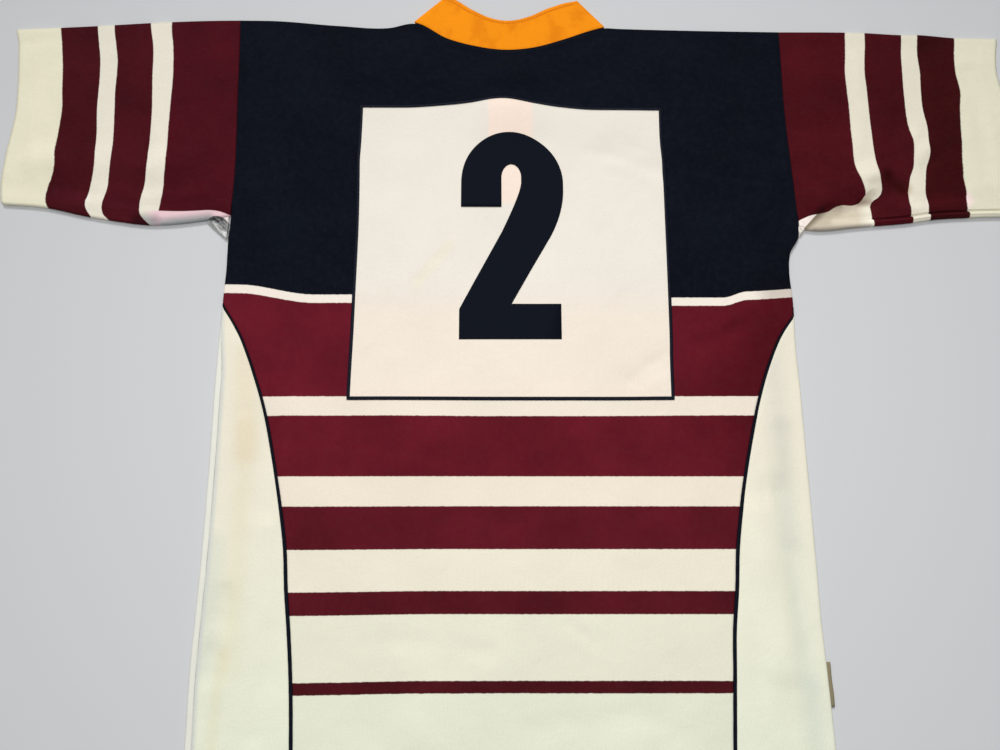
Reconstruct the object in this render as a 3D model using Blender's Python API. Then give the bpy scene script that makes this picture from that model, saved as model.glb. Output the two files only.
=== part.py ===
"""Rugby shirt spread flat on its front: every cut piece as a closed cloth wall, in metres, +Z up.

X runs across the shirt, Y from its hem to its collar, Z up from the surface it lies on.  The pieces are
drawn in the shirt's own sizes, with the hem at 0, and an empty puts the middle of the outline at the origin.
"""

import math

import bmesh
import bpy
import numpy as np

# ---------------------------------------------------------------- driving sizes, in metres
WALL = 0.0012              # jersey, with its seam allowances
PLY_GAP = 0.0008           # air between front and back where they lie on each other
SEAM_GAP = 0.0003          # space left between two pieces at a seam
EDGE_RADIUS = 0.0022       # how roundly the cloth turns at a folded edge
LOFT = 0.0020              # how far the back rides over the front away from its edges
SEAM_RIDGE = 0.0008        # swelling of the allowances under the armhole seams
PRESSED = 2 * WALL + PLY_GAP
ROLLED = 2 * EDGE_RADIUS
LOFT_RUN = 0.030           # distance from an edge at which the back has its whole loft,
FOLD_RUN = 0.015           # its folds have their whole height,
ROLL_RUN = 0.020           # a rolled edge has sunk to the pressed layers,
RIDGE_RUN = 0.008          # and an armhole seam's ridge has ended

ARMPIT = 0.5100            # heights above the hem
SIDE_TIP = 0.4365          # where the curved seam runs out on the side seam
SIDE_PANEL_TOP = 0.4310
PANEL_BOTTOM, PANEL_TOP = 0.3520, 0.6500
SHOULDER = 0.7450
PANEL_HALF = 0.1525        # number panel, half its width
PANEL_WALL = 0.0009
PANEL_BOW = 0.0095         # the panel's top edge stands higher in the middle,
BOW_MIDDLE, BOW_HALF = -0.0040, 0.0750        # round this place, over this half width,
BOW_DEPTH = 0.0200         # and the rows under it follow down to this depth
NECK_HALF = 0.0977         # half the neck's width at the shoulder seams
SEAM_UNDER = math.radians(100)   # side and shoulder seams lie this far round the folded edge
LEFT_SEAM_INSET = 0.0060   # the left side seam has rolled this far on to the back,
SEAM_ROLL_TOP, SEAM_ROLL_RUN = 0.418, 0.110   # from this height down, over this length
MOUTH_SHARE = 0.6          # how far the side seam has opened where the gusset is let in,
MOUTH_START, MOUTH_RUN = 0.5045, 0.0060       # from this height up, over this length
PIPING_PROUD = 0.0005
TOP_CLEAR_BACK, TOP_CLEAR_FRONT = 0.0044, 0.0092   # last full rows, below the top edge
FRONT_EVEN = 0.5620        # the front's rows are level up to this height

COLLAR_DROP = 0.0895       # hidden front of the neck seam, below the shoulder seams
COLLAR_TOP_DROP = 0.0870   # hidden front of the band's upper edge, below its highest point
COLLAR_LIFT = 0.0022       # the band's upper edge stands a little off the front,
COLLAR_LIFT_RUN, COLLAR_FOLD_RUN = 0.065, 0.030    # from so far off its folds, where it is rolled
COLLAR_ENDS = (0.7770, 0.7730)   # heights of the hidden half's upper edge at the two folds

NUMERAL_WALL = 0.0006
SHARP_ANGLE = math.radians(50)
CLOTH_ROUGHNESS = 0.85
LABEL_SPAN = (0.0743, 0.1136)
LABEL_REACH = 0.0038
LABEL_HEIGHTS = (0.0014, 0.0022)


def table(names, *rows):
    """Named columns from rows of numbers."""
    return dict(zip(names.split(), np.array(rows, dtype=float).T))


# Outline of the body: where its left and right edges lie at each height above the hem.
BODY_EDGE = table(
    "up left right",
    (0.000, -0.2855, 0.2845), (0.040, -0.2843, 0.2834), (0.105, -0.2840, 0.2811), (0.145, -0.2828, 0.2790),
    (0.200, -0.2803, 0.2787), (0.300, -0.2812, 0.2765), (0.370, -0.2780, 0.2763), (0.440, -0.2763, 0.2735),
    (0.475, -0.2769, 0.2717), (0.497, -0.2775, 0.2745), (0.510, -0.2776, 0.2822), (0.520, -0.2766, 0.2845),
    (0.545, -0.2761, 0.2838), (0.580, -0.2754, 0.2822), (0.620, -0.2762, 0.2801), (0.660, -0.2776, 0.2790),
    (0.700, -0.2786, 0.2793), (0.737, -0.2797, 0.2790), (0.752, -0.2801, 0.2790),
)
# Top edge of the body: the shoulders, and the dip of the neck seam between them.
TOP_EDGE = table(
    "across up",
    (-0.281, 0.7507), (-0.245, 0.7501), (-0.177, 0.7443), (-0.125, 0.7420), (-0.0977, 0.7470),
    (-0.064, 0.7292), (-0.037, 0.7211), (-0.005, 0.7165), (0.024, 0.7190), (0.0585, 0.7292),
    (0.083, 0.7380), (0.0977, 0.7416), (0.112, 0.7410), (0.198, 0.7385), (0.280, 0.7370),
)
# Curved seam between the hooped back and its side panels: half its spread, and the piping's width.
SIDE_CURVE = table(
    "up half width",
    (0.000, 0.1922, 0.0036), (0.040, 0.1935, 0.0036), (0.104, 0.1970, 0.0035), (0.142, 0.1985, 0.0034),
    (0.177, 0.2030, 0.0033), (0.2135, 0.2065, 0.0032), (0.253, 0.2130, 0.0031), (0.295, 0.2210, 0.0029),
    (0.353, 0.2360, 0.0027), (0.390, 0.2517, 0.0026), (0.436, 0.2750, 0.0025),
)
# The hoops are knitted in one cloth: each colour, from the hem up, and where it ends.
HOOPS = (
    ("cream", 0.0867), ("maroon", 0.0968), ("cream", 0.1538), ("maroon", 0.1739), ("cream", 0.2110),
    ("maroon", 0.2497), ("cream", 0.2782), ("maroon", 0.3345), ("cream", 0.3520), ("maroon", 0.4450),
    ("cream", 0.4540), ("navy", 1.0),
)
# The hoop under the yoke is drawn up towards both sides: how much, from where, over what width.
HOOP_PULL = table("side rise start run", (-1, 0.0085, 0.190, 0.055), (1, 0.0055, 0.225, 0.040))
PULLED_HOOP, PULLED_REACH = 0.4520, 0.0600
# Soft folds of the back and the sleeves: the two ends of each ridge or trough, its height and its reach.
FOLDS = table(
    "x0 up0 x1 up1 height reach",
    (0.000, 0.706, -0.004, 0.650, 0.0045, 0.055),     # under the middle of the collar
    (-0.075, 0.712, -0.150, 0.690, 0.0025, 0.040),    # left of the collar
    (0.085, 0.722, 0.160, 0.700, 0.0025, 0.040),      # right of the collar
    (0.062, 0.614, 0.148, 0.586, -0.0018, 0.034),     # slanting trough on the number panel
    (0.030, 0.640, 0.120, 0.628, 0.0020, 0.032),      # ridge above that trough
    (-0.048, 0.510, -0.074, 0.470, -0.0012, 0.026),   # faint crease left of the numeral
    (0.118, 0.366, 0.150, 0.392, -0.0016, 0.024),     # lower right corner of the panel
    (0.210, 0.515, 0.255, 0.560, 0.0030, 0.034),      # pull towards the right armhole
    (-0.215, 0.500, -0.255, 0.548, 0.0026, 0.034),    # pull towards the left armhole
    (-0.235, 0.400, -0.225, 0.250, -0.0016, 0.022),   # long trough in the left side panel
    (-0.262, 0.160, -0.268, 0.110, -0.0018, 0.026),   # dimple low on the left side
    (0.245, 0.262, 0.268, 0.130, -0.0018, 0.024),     # slanting trough in the right side panel
    (0.222, 0.240, 0.242, 0.110, 0.0022, 0.024),      # ridge inside it
    (-0.120, 0.310, 0.050, 0.322, 0.0014, 0.050),     # swell under the number panel
    (-0.060, 0.060, -0.110, 0.010, 0.0018, 0.050),    # swell at the hem
    (0.100, 0.030, 0.150, 0.005, 0.0020, 0.045),
    (-0.330, 0.585, -0.470, 0.592, 0.0030, 0.026),    # left sleeve, along its lower edge
    (-0.395, 0.700, -0.372, 0.600, -0.0015, 0.022),   # left sleeve, soft troughs along the stripes
    (-0.445, 0.690, -0.440, 0.620, 0.0022, 0.022),
    (0.300, 0.545, 0.366, 0.576, 0.0044, 0.022),      # right sleeve, fold up from the armpit
    (0.330, 0.534, 0.372, 0.556, -0.0016, 0.012),     # and the crease below it
    (0.405, 0.612, 0.430, 0.588, 0.0032, 0.024),
    (0.385, 0.560, 0.398, 0.640, -0.0016, 0.020),
    (0.395, 0.537, 0.455, 0.540, 0.0018, 0.012),      # underarm seam rolled on to the back
)
# Sleeves, from the armhole to the cuff: the heights of the lower and upper edge, and how far out each
# line across the sleeve lies, read at seven places from the lower edge (l0) to the upper edge (l6).
LINE_PLACES = np.array((0.0, 0.1, 0.25, 0.5, 0.75, 0.9, 1.0))
SLEEVE_COLUMNS = "low high l0 l1 l2 l3 l4 l5 l6"
LEFT_SLEEVE = table(
    SLEEVE_COLUMNS,
    (0.5338, 0.7507, 0.2768, 0.2761, 0.2755, 0.2767, 0.2785, 0.2793, 0.2801),    # armhole
    (0.5293, 0.7505, 0.3000, 0.3000, 0.2995, 0.2995, 0.3010, 0.3020, 0.3030),    # end of the gusset
    (0.5243, 0.7489, 0.3470, 0.3464, 0.3450, 0.3448, 0.3462, 0.3480, 0.3509),    # first stripe
    (0.5243, 0.7478, 0.3650, 0.3695, 0.3660, 0.3650, 0.3668, 0.3695, 0.3738),
    (0.5296, 0.7454, 0.4009, 0.4046, 0.4014, 0.4005, 0.4035, 0.4062, 0.4111),    # second stripe
    (0.5327, 0.7443, 0.4190, 0.4227, 0.4181, 0.4203, 0.4216, 0.4245, 0.4287),
    (0.5422, 0.7423, 0.4585, 0.4613, 0.4560, 0.4568, 0.4595, 0.4620, 0.4665),    # cuff band
    (0.5465, 0.7402, 0.5049, 0.5079, 0.5063, 0.5015, 0.5045, 0.5080, 0.5122),    # cuff edge
)
RIGHT_SLEEVE = table(
    SLEEVE_COLUMNS,
    (0.5262, 0.7370, 0.2847, 0.2838, 0.2820, 0.2801, 0.2790, 0.2792, 0.2790),
    (0.5180, 0.7370, 0.3020, 0.3020, 0.3010, 0.3000, 0.3000, 0.3000, 0.3000),
    (0.5225, 0.7367, 0.3540, 0.3538, 0.3480, 0.3460, 0.3448, 0.3462, 0.3484),
    (0.5233, 0.7361, 0.3603, 0.3640, 0.3695, 0.3680, 0.3666, 0.3678, 0.3694),
    (0.5269, 0.7338, 0.3978, 0.3970, 0.4025, 0.4045, 0.4030, 0.4048, 0.4066),
    (0.5296, 0.7338, 0.4178, 0.4156, 0.4195, 0.4232, 0.4222, 0.4230, 0.4243),
    (0.5322, 0.7303, 0.4530, 0.4545, 0.4540, 0.4570, 0.4600, 0.4592, 0.4610),
    (0.5335, 0.7292, 0.5030, 0.5030, 0.5035, 0.5050, 0.5060, 0.5062, 0.5068),
)
SLEEVE_BANDS = ("maroon", "maroon", "cream", "maroon", "cream", "maroon", "cream")
SLEEVE_STEPS = (1, 3, 1, 2, 1, 2, 2)          # rings of cells in each of those bands
# Gussets: the corner at the armpit and the two ends of the folded edge, on the sleeve and on the side.
GUSSETS = {
    "gusset_left": ((-0.2782, 0.5326), (-0.3010, 0.5284), (-0.2785, 0.5062)),
    "gusset_right": ((0.2860, 0.5243), (0.3000, 0.5175), (0.2816, 0.5040)),
}
GUSSET_CREASE, GUSSET_CREASES = 0.0007, 3     # depth and number of the creases that run to the fold
GUSSET_SLOPE = 0.0008                         # fall of its top towards the seams
GUSSET_SHARES = np.linspace(0.25, 0.75, 7)    # rows along the fold
GUSSET_OVER = np.array((1.0, 0.66, 0.33, 0.0))
GUSSET_UNDER = np.array((0.0, 0.5, 1.0))
GUSSET_CREASED = np.array((0.4, 1.0, 0.8, 0.0))   # how much of the creases each point of the top takes
# Upper edge of the collar band.
COLLAR_TOP = table(
    "across up",
    (-0.0660, 0.7775), (-0.0572, 0.7748), (-0.0397, 0.7630), (-0.0225, 0.7535), (-0.0003, 0.7493),
    (0.0194, 0.7538), (0.0442, 0.7660), (0.0600, 0.7712), (0.0690, 0.7722),
)
COLLAR_FOLDS = {-1: ((-0.0992, 0.7496), (-0.0672, 0.7785)), 1: ((0.0992, 0.7442), (0.0705, 0.7742))}
BAND_WIDTHS = np.array((0.0, 0.12, 0.45, 0.8, 1.0))               # rings, from the seam to the upper edge
BAND_BACK = np.array((0.08, 0.06, 0.04, 0.02, 0.0, -0.02, -0.04, -0.06, -0.08))
BAND_FRONT = np.array((-0.087, -0.052, 0.0, 0.052, 0.087))
BAND_TAPER = 0.675                            # upper edge against the neck seam, across
BAND_INSET = 0.0004                           # clear of the neck seam
BAND_TURN = np.linspace(0.0, math.pi, 5)      # points round its folded ends

# The numeral: places across and up of its stem, bowl, counter, slope and base.
NUMERAL = {
    "left": -0.0486, "right": 0.0527, "stem_right": -0.0085, "stem_low": 0.5441, "stem_high": 0.5570,
    "bowl": (0.0020, 0.5700), "bowl_rise": 0.0538,
    "counter": (0.0016, 0.5755), "counter_radii": (0.0101, 0.0140),
    "outer_bend": ((0.0527, 0.5630), (0.0527, 0.5400), (0.0387, 0.5131)), "outer_slope": (0.0200, 0.4787),
    "inner_bend": ((0.0117, 0.5700), (0.0117, 0.5500), (-0.0085, 0.5180)), "inner_slope": (-0.0300, 0.4760),
    "base_low": 0.4084, "base_high": 0.4438, "heel": 0.4386, "base_left": -0.0493, "base_middle": -0.0100,
    "base_steps": (0.0013, 0.0170, 0.0330, 0.0490),
}
NUMERAL_SHARES = np.array((0.0, 0.33, 0.67, 1.0))[:, None, None]   # from the outer to the inner outline

COLOURS = {                                   # display colours, 0 to 255
    "navy": (17, 22, 34),
    "maroon": (98, 25, 37),
    "cream": (238, 230, 213),
    "orange": (244, 146, 26),
    "silver": (196, 196, 192),
    "label": (170, 162, 140),
}


# ---------------------------------------------------------------- curves and heights
def ease(t):
    """0 to 1 with level ends."""
    t = np.clip(t, 0.0, 1.0)
    return t * t * (3.0 - 2.0 * t)


def curve(xs, ys, at):
    """Smooth line through the points: a cubic between each two, with the neighbours' mean slope."""
    slopes = np.gradient(ys, xs)
    i = np.clip(np.searchsorted(xs, at) - 1, 0, len(xs) - 2)
    width = xs[i + 1] - xs[i]
    t = np.clip((at - xs[i]) / width, 0.0, 1.0)
    start = (1 + 2 * t) * (1 - t) ** 2 * ys[i] + t * (1 - t) ** 2 * width * slopes[i]
    return start + t * t * (3 - 2 * t) * ys[i + 1] - t * t * (1 - t) * width * slopes[i + 1]


def body_edge(side, up):
    return curve(BODY_EDGE["up"], BODY_EDGE["left" if side < 0 else "right"], up)


def top_edge(across):
    return curve(TOP_EDGE["across"], TOP_EDGE["up"], across)


def within_neck(across):
    """Whether a place lies between the two ends of the neck seam."""
    return np.abs(across) < NECK_HALF - SEAM_GAP


def folds(across, up):
    """Sum of the soft folds: each falls off evenly round the line between its two ends."""
    height = np.zeros(np.broadcast(across, up).shape)
    for x0, up0, x1, up1, peak, reach in zip(*FOLDS.values()):
        run = np.array((x1 - x0, up1 - up0))
        t = np.clip(((across - x0) * run[0] + (up - up0) * run[1]) / run.dot(run), 0.0, 1.0)
        distance = np.hypot(across - x0 - t * run[0], up - up0 - t * run[1])
        height += peak * ease(1.0 - distance / reach)
    return height


def cloth_height(across, up, to_roll, to_seam):
    """Height of the upper layer: rolled edges stand high, seams lie low, and it lofts in between."""
    inner = np.minimum(to_roll, to_seam)
    swell = LOFT * ease(inner / LOFT_RUN) + folds(across, up) * ease(inner / FOLD_RUN)
    rim = (ROLLED - PRESSED) * (1.0 - ease(to_roll / ROLL_RUN))
    return PRESSED + rim + swell + SEAM_RIDGE * (1.0 - ease(to_seam / RIDGE_RUN))


def body_height(across, up):
    """Height of the back over the surface, from its distances to the folded edges and the seams."""
    to_left = across - body_edge(-1, up) - EDGE_RADIUS
    to_right = body_edge(1, up) - EDGE_RADIUS - across
    to_side = np.minimum(to_left, to_right)
    to_top = top_edge(across) - EDGE_RADIUS - up
    over_neck = within_neck(across)
    above_armpit = up > ARMPIT
    to_roll = np.minimum(np.where(above_armpit, 1.0, to_side), np.where(over_neck, 1.0, to_top))
    to_seam = np.minimum(np.where(above_armpit, to_side, 1.0), np.where(over_neck, to_top, 1.0))
    return cloth_height(across, up, np.maximum(to_roll, 0.0), np.maximum(to_seam, 0.0))


def roll(edge, side, past, height, depth):
    """Cloth that turns at a folded edge.  past is the way along it beyond the start of the turn."""
    start = edge - side * EDGE_RADIUS
    angle = np.clip(past / EDGE_RADIUS, 0.0, math.pi)
    below = np.maximum(past - math.pi * EDGE_RADIUS, 0.0)
    radius = EDGE_RADIUS - depth
    place = start + side * (np.minimum(past, 0.0) + radius * np.sin(angle) - below)
    return place, np.where(past <= 0.0, height - depth, EDGE_RADIUS + radius * np.cos(angle))


def row_line(level, across):
    """Where a row of the body lies: level near the hem, and shared out under the top edge."""
    if level <= PANEL_TOP:
        near_hoop = ease(1.0 - abs(level - PULLED_HOOP) / PULLED_REACH)
        pulled = sum(rise * ease((side * across - start) / run)
                     for side, rise, start, run in zip(*HOOP_PULL.values()))
        below_top = 1.0 - (PANEL_TOP - level) / BOW_DEPTH
        bow = PANEL_BOW * ease(1.0 - np.abs(across - BOW_MIDDLE) / BOW_HALF) * ease(below_top)
        return level + near_hoop * pulled + bow
    share = (level - PANEL_TOP) / (SHOULDER - PANEL_TOP)
    return (1.0 - share) * row_line(PANEL_TOP, across) + share * (top_edge(across) - TOP_CLEAR_BACK)


def seam_past(side, up):
    """How far round the edge the side seam lies: just under it, or rolled on to the back at the left."""
    under = EDGE_RADIUS * SEAM_UNDER
    if side > 0:
        return under
    rolled = ease((SEAM_ROLL_TOP - up) / SEAM_ROLL_RUN)
    return under + rolled * (EDGE_RADIUS - LEFT_SEAM_INSET - under)


def armpit_mouth(up):
    """How far the side seam has opened just under the armpit, where the gusset is let in."""
    return MOUTH_SHARE * ease((up - MOUTH_START) / MOUTH_RUN)


def curve_past(side, up):
    """How far past the start of the side's turn the curved seam lies; it is negative on the flat."""
    return curve(SIDE_CURVE["up"], SIDE_CURVE["half"], up) - (abs(body_edge(side, up)) - EDGE_RADIUS)


def half_piping(up):
    return curve(SIDE_CURVE["up"], SIDE_CURVE["width"], up) / 2


# ---------------------------------------------------------------- walls from grids
def grid_triangles(rows, columns, ring):
    """Two triangles for each cell, always cut the same way, as rows of three point numbers."""
    i, j = np.meshgrid(np.arange(rows - 1), np.arange(columns if ring else columns - 1), indexing="ij")
    across = (j + 1) % columns
    a, b = i * columns + j, i * columns + across
    c, d = (i + 1) * columns + across, (i + 1) * columns + j
    return np.stack((np.stack((a, b, c), -1), np.stack((a, c, d), -1)), 2).reshape(-1, 3)


def rim_triangles(line, count, ring):
    """Triangles that join one border of the outer grid to the same border of the inner grid."""
    nxt = np.roll(line, -1) if ring else line[1:]
    line = line if ring else line[:-1]
    lower = np.stack((line, line + count, nxt + count), -1)
    return np.concatenate((lower, np.stack((line, nxt + count, nxt), -1)))


def wall(name, outer, inner, colours, cell_colours=None, ring=False):
    """A closed cloth wall between two grids of points, as an object with its own materials."""
    rows, columns = outer.shape[:2]
    count = rows * columns
    number = np.arange(count).reshape(rows, columns)
    face = grid_triangles(rows, columns, ring)
    parts = [face, face[:, ::-1] + count]
    parts += [rim_triangles(number[0], count, ring), rim_triangles(number[-1][::-1], count, ring)]
    if not ring:
        parts += [rim_triangles(number[::-1, 0], count, False), rim_triangles(number[:, -1], count, False)]
    mesh = bpy.data.meshes.new(name)
    points = np.concatenate((outer.reshape(-1, 3), inner.reshape(-1, 3)))
    mesh.from_pydata(points.tolist(), [], np.concatenate(parts).tolist())
    if cell_colours is not None:
        slots = np.zeros(len(mesh.polygons), dtype=np.int32)
        slots[: 2 * len(face)] = np.tile(np.repeat(cell_colours.reshape(-1), 2), 2)
        mesh.polygons.foreach_set("material_index", slots)
    return place(name, mesh, colours)


def place(name, mesh, colours):
    """Turns the faces outwards, shades them smooth and puts the piece under the shirt's empty."""
    shape = bmesh.new()
    shape.from_mesh(mesh)
    bmesh.ops.recalc_face_normals(shape, faces=shape.faces)
    shape.to_mesh(mesh)
    shape.free()
    mesh.shade_smooth()
    mesh.set_sharp_from_angle(angle=SHARP_ANGLE)
    for colour in colours:
        mesh.materials.append(cloth_material(name, colour))
    piece = bpy.data.objects.new(name, mesh)
    piece.parent = SHIRT
    bpy.context.scene.collection.objects.link(piece)
    return piece


def cloth_material(name, colour):
    """Matt jersey in one of the shirt's colours."""
    material = bpy.data.materials.new(f"{name}_{colour}")
    material.use_nodes = True
    level = np.array(COLOURS[colour]) / 255.0
    linear = np.where(level <= 0.04045, level / 12.92, ((level + 0.055) / 1.055) ** 2.4)
    shader = material.node_tree.nodes["Principled BSDF"]
    shader.inputs["Base Color"].default_value = (*linear, 1.0)
    shader.inputs["Roughness"].default_value = CLOTH_ROUGHNESS
    shader.inputs["Metallic"].default_value = 0.0
    material.diffuse_color = (*linear, 1.0)
    return material


# ---------------------------------------------------------------- body
CENTRE_COLUMNS = np.array((0.0, 0.02, 0.04, 0.06, 0.08, NECK_HALF, 0.125, PANEL_HALF))
CENTRE_COLUMNS = np.concatenate((-CENTRE_COLUMNS[:0:-1], CENTRE_COLUMNS))
FRONT_COLUMNS = np.array((0.0, 0.052, 0.087, NECK_HALF, 0.125, PANEL_HALF))
FRONT_COLUMNS = np.concatenate((-FRONT_COLUMNS[:0:-1], FRONT_COLUMNS))
BETWEEN = np.array((0.27, 0.53, 0.78))        # columns between the middle ones and a side's
LOWER_LEVELS = np.array((0.0, 0.040, 0.0867, 0.0968, 0.125, 0.1538, 0.1739, 0.192, 0.2110, 0.230, 0.2497,
                         0.2782, 0.306, 0.3345, 0.3520, 0.380, 0.405, 0.423, SIDE_PANEL_TOP, SIDE_TIP))
UPPER_LEVELS = np.array((0.4400, 0.4450, 0.4540, 0.473, 0.491, 0.5045, 0.5075, 0.5105, 0.532, 0.562, 0.592,
                         0.620, PANEL_TOP, 0.682, 0.715, SHOULDER))
LEVELS = np.concatenate((LOWER_LEVELS, UPPER_LEVELS))
BACK_STEPS = np.array((0.0060, 0.0042, 0.0028, 0.0014, 0.0))     # points close to a border of the back
NECK_STEPS = 0.7 * BACK_STEPS[1:]                                 # and close to its neck seam
FRONT_SHARES = np.array((1.0, 0.8, 0.64, 0.48, 0.32, 0.16, 0.0))  # the same on the front, as shares
FRONT_TURN = math.pi * EDGE_RADIUS + 0.004                        # where the front's flat begins
FRONT_INSET = 0.010
FRONT_TOP_SHARES = np.array((1.0, 0.66, 0.33, 0.0))
FRONT_NECK_STEPS = np.array((0.0045, 0.0030, 0.0015, 0.0))
SIDE_SHARES = np.array((0.0, 0.3, 0.6, 0.86, 0.91, 0.955, 1.0))  # across a side panel
PIPING_SHARES = np.array((0.0, 0.5, 1.0))
PIPING_CROWN = np.array((0.0, PIPING_PROUD, 0.0))


def near_side(side, level, past, inset, depth):
    """Points close to one side of the body: round its folded edge, or flat up to the armhole."""
    edge = body_edge(side, level)
    if level > ARMPIT:
        return edge - side * (SEAM_GAP / 2 + inset), np.full(len(inset), np.nan)
    flat = edge + side * (np.minimum(past, 0.0) - EDGE_RADIUS)
    across, height = roll(edge, side, past, body_height(flat, level), depth)
    return across, height


def body_row(level, centre, border):
    """A row across the body: its middle columns, a few on each side, and those of the two borders."""
    across, height = [centre], [np.full(len(centre), np.nan)]
    for side in (-1, 1):
        near, turned = border(side, level)
        middle = side * PANEL_HALF + (near[0] - side * PANEL_HALF) * BETWEEN
        points = np.concatenate((middle, near))
        lifted = np.concatenate((np.full(len(middle), np.nan), turned))
        across = [points[::-1], *across] if side < 0 else [*across, points]
        height = [lifted[::-1], *height] if side < 0 else [*height, lifted]
    return np.concatenate(across), np.concatenate(height)


def top_rows(across, pasts, insets, neck_line, flat_height, depth):
    """The last rows of a body piece: round the shoulders' folded edge, or flat up to the neck seam."""
    edge = top_edge(across) - SEAM_GAP / 2
    in_neck = within_neck(across)
    rows = []
    for past, inset in zip(pasts, insets):
        start = body_height(across, edge - EDGE_RADIUS + min(past, 0.0))
        rolled_y, rolled_z = roll(edge, 1, np.full(len(across), past), start, depth)
        flat_y = neck_line(across) - SEAM_GAP / 2 - inset
        y = np.where(in_neck, flat_y, rolled_y)
        z = np.where(in_neck, flat_height(across, flat_y), rolled_z)
        rows.append(np.stack((across, y, z), -1))
    return rows


def back_grid(depth):
    """Points of the hooped back, so far below its outer face."""
    def border(side, level):
        if level >= UPPER_LEVELS[0]:
            past = seam_past(side, level) * (1.0 - armpit_mouth(level))
        else:
            past = curve_past(side, level) - half_piping(level) - SEAM_GAP
        return near_side(side, level, past - BACK_STEPS, BACK_STEPS, depth)

    rows = []
    for level in LEVELS:
        x, turned = body_row(level, CENTRE_COLUMNS, border)
        y = row_line(level, x)
        rows.append(np.stack((x, y, np.where(np.isnan(turned), body_height(x, y) - depth, turned)), -1))
    pasts = EDGE_RADIUS * SEAM_UNDER - BACK_STEPS[1:]
    rows += top_rows(x, pasts, NECK_STEPS, top_edge, lambda a, b: body_height(a, b) - depth, depth)
    return np.array(rows)


def back_panel():
    """The hooped back with its navy yoke, all one cloth."""
    outer, inner = back_grid(0.0), back_grid(WALL)
    names = ["navy", "cream", "maroon"]
    middles = np.append((LEVELS[1:] + LEVELS[:-1]) / 2, [SHOULDER] * (len(outer) - len(LEVELS)))
    bands = [names.index(next(colour for colour, end in HOOPS if middle < end)) for middle in middles]
    wall("back_panel", outer, inner, names, np.repeat(np.array(bands)[:, None], outer.shape[1] - 1, axis=1))
    return outer


def number_panel(back):
    """Cream square laid over the back: the back's own points, moved out."""
    first, last = (int(np.argmin(np.abs(LEVELS - level))) for level in (PANEL_BOTTOM, PANEL_TOP))
    left, right = (int(np.argmin(np.abs(back[first, :, 0] - edge))) for edge in (-PANEL_HALF, PANEL_HALF))
    under = back[first : last + 1, left : right + 1] + (0.0, 0.0, SEAM_GAP)
    outer = under + (0.0, 0.0, PANEL_WALL)
    wall("number_panel", outer, under, ["cream"])
    return outer


def side_grid(side, levels, inner_border, outer_border, shares, depth):
    """Points of a narrow piece of the back that runs up one side, between two borders."""
    rows = []
    for level in levels:
        first, last = inner_border(side, level), outer_border(side, level)
        past = first + shares * (last - first)
        edge = body_edge(side, level)
        flat = edge + side * (np.minimum(past, 0.0) - EDGE_RADIUS)
        x, z = roll(edge, side, past, body_height(flat, level), depth)
        rows.append(np.stack((x, row_line(level, x), z), -1)[::side])
    return np.array(rows)


def back_sides():
    """Cream side panels of the back, from the hem to a point on the side seam, and their piping."""
    def piping_inner(side, up):
        return curve_past(side, up) - half_piping(up)

    def piping_outer(side, up):
        return min(curve_past(side, up) + half_piping(up), seam_past(side, up))

    def panel_inner(side, up):
        return piping_outer(side, up) + SEAM_GAP

    for side, name in ((-1, "left"), (1, "right")):
        panel = [side_grid(side, LOWER_LEVELS[:-1], panel_inner, seam_past, SIDE_SHARES, depth)
                 for depth in (0.0, WALL)]
        wall(f"back_side_{name}", *panel, ["cream"])
        piping = [side_grid(side, LOWER_LEVELS, piping_inner, piping_outer, PIPING_SHARES, depth)
                  for depth in (-PIPING_CROWN, WALL)]
        wall(f"piping_{name}", *piping, ["navy"])


def front_neck(across):
    """Hidden front of the neck seam: half an ellipse below the shoulder seams."""
    level = np.interp(across, (-NECK_HALF, NECK_HALF), top_edge(np.array((-NECK_HALF, NECK_HALF))))
    return level - COLLAR_DROP * np.sqrt(np.maximum(1.0 - (across / NECK_HALF) ** 2, 0.0))


def front_grid(depth):
    """Points of the front, flat on the surface and turned up round the sides and shoulders."""
    def border(side, level):
        seam = seam_past(side, level) + SEAM_GAP
        seam += armpit_mouth(level) * (math.pi * EDGE_RADIUS - seam)
        past = seam + (FRONT_TURN - seam) * FRONT_SHARES
        return near_side(side, level, past, FRONT_INSET * FRONT_SHARES, depth)

    rows = []
    for level in LEVELS:
        x, turned = body_row(level, FRONT_COLUMNS, border)
        top = np.where(np.abs(x) < NECK_HALF, front_neck(x), top_edge(x)) - TOP_CLEAR_FRONT
        share = max(level - FRONT_EVEN, 0.0) / (SHOULDER - FRONT_EVEN)
        y = (1 - share) * row_line(min(level, FRONT_EVEN), x) + share * top
        rows.append(np.stack((x, y, np.where(np.isnan(turned), depth, turned)), -1))
    seam = EDGE_RADIUS * SEAM_UNDER + SEAM_GAP
    pasts = seam + (math.pi * EDGE_RADIUS - seam) * FRONT_TOP_SHARES
    rows += top_rows(x, pasts, FRONT_NECK_STEPS, front_neck, lambda a, b: np.full(len(a), depth), depth)
    return np.array(rows)


def front_panel():
    """The front, face down on the surface, turned up to its side and shoulder seams."""
    wall("front_panel", front_grid(0.0), front_grid(WALL), ["cream"])


# ---------------------------------------------------------------- sleeves and gussets
TURN = np.array((0.2, 0.4, 0.6, 0.8)) * math.pi                   # points round a folded edge
SLEEVE_UNDER = np.array((0.0, 0.18, 0.40, 0.62, 0.84, 1.0))       # across the sleeve, on the surface
SLEEVE_OVER = np.array((1.0, 0.94, 0.86, 0.76, 0.66, 0.56, 0.46, 0.37, 0.29, 0.22, 0.15, 0.09, 0.04, 0.0))
UNDERARM_CELLS = 5                                                # of its ring, in the underarm's colour


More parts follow.
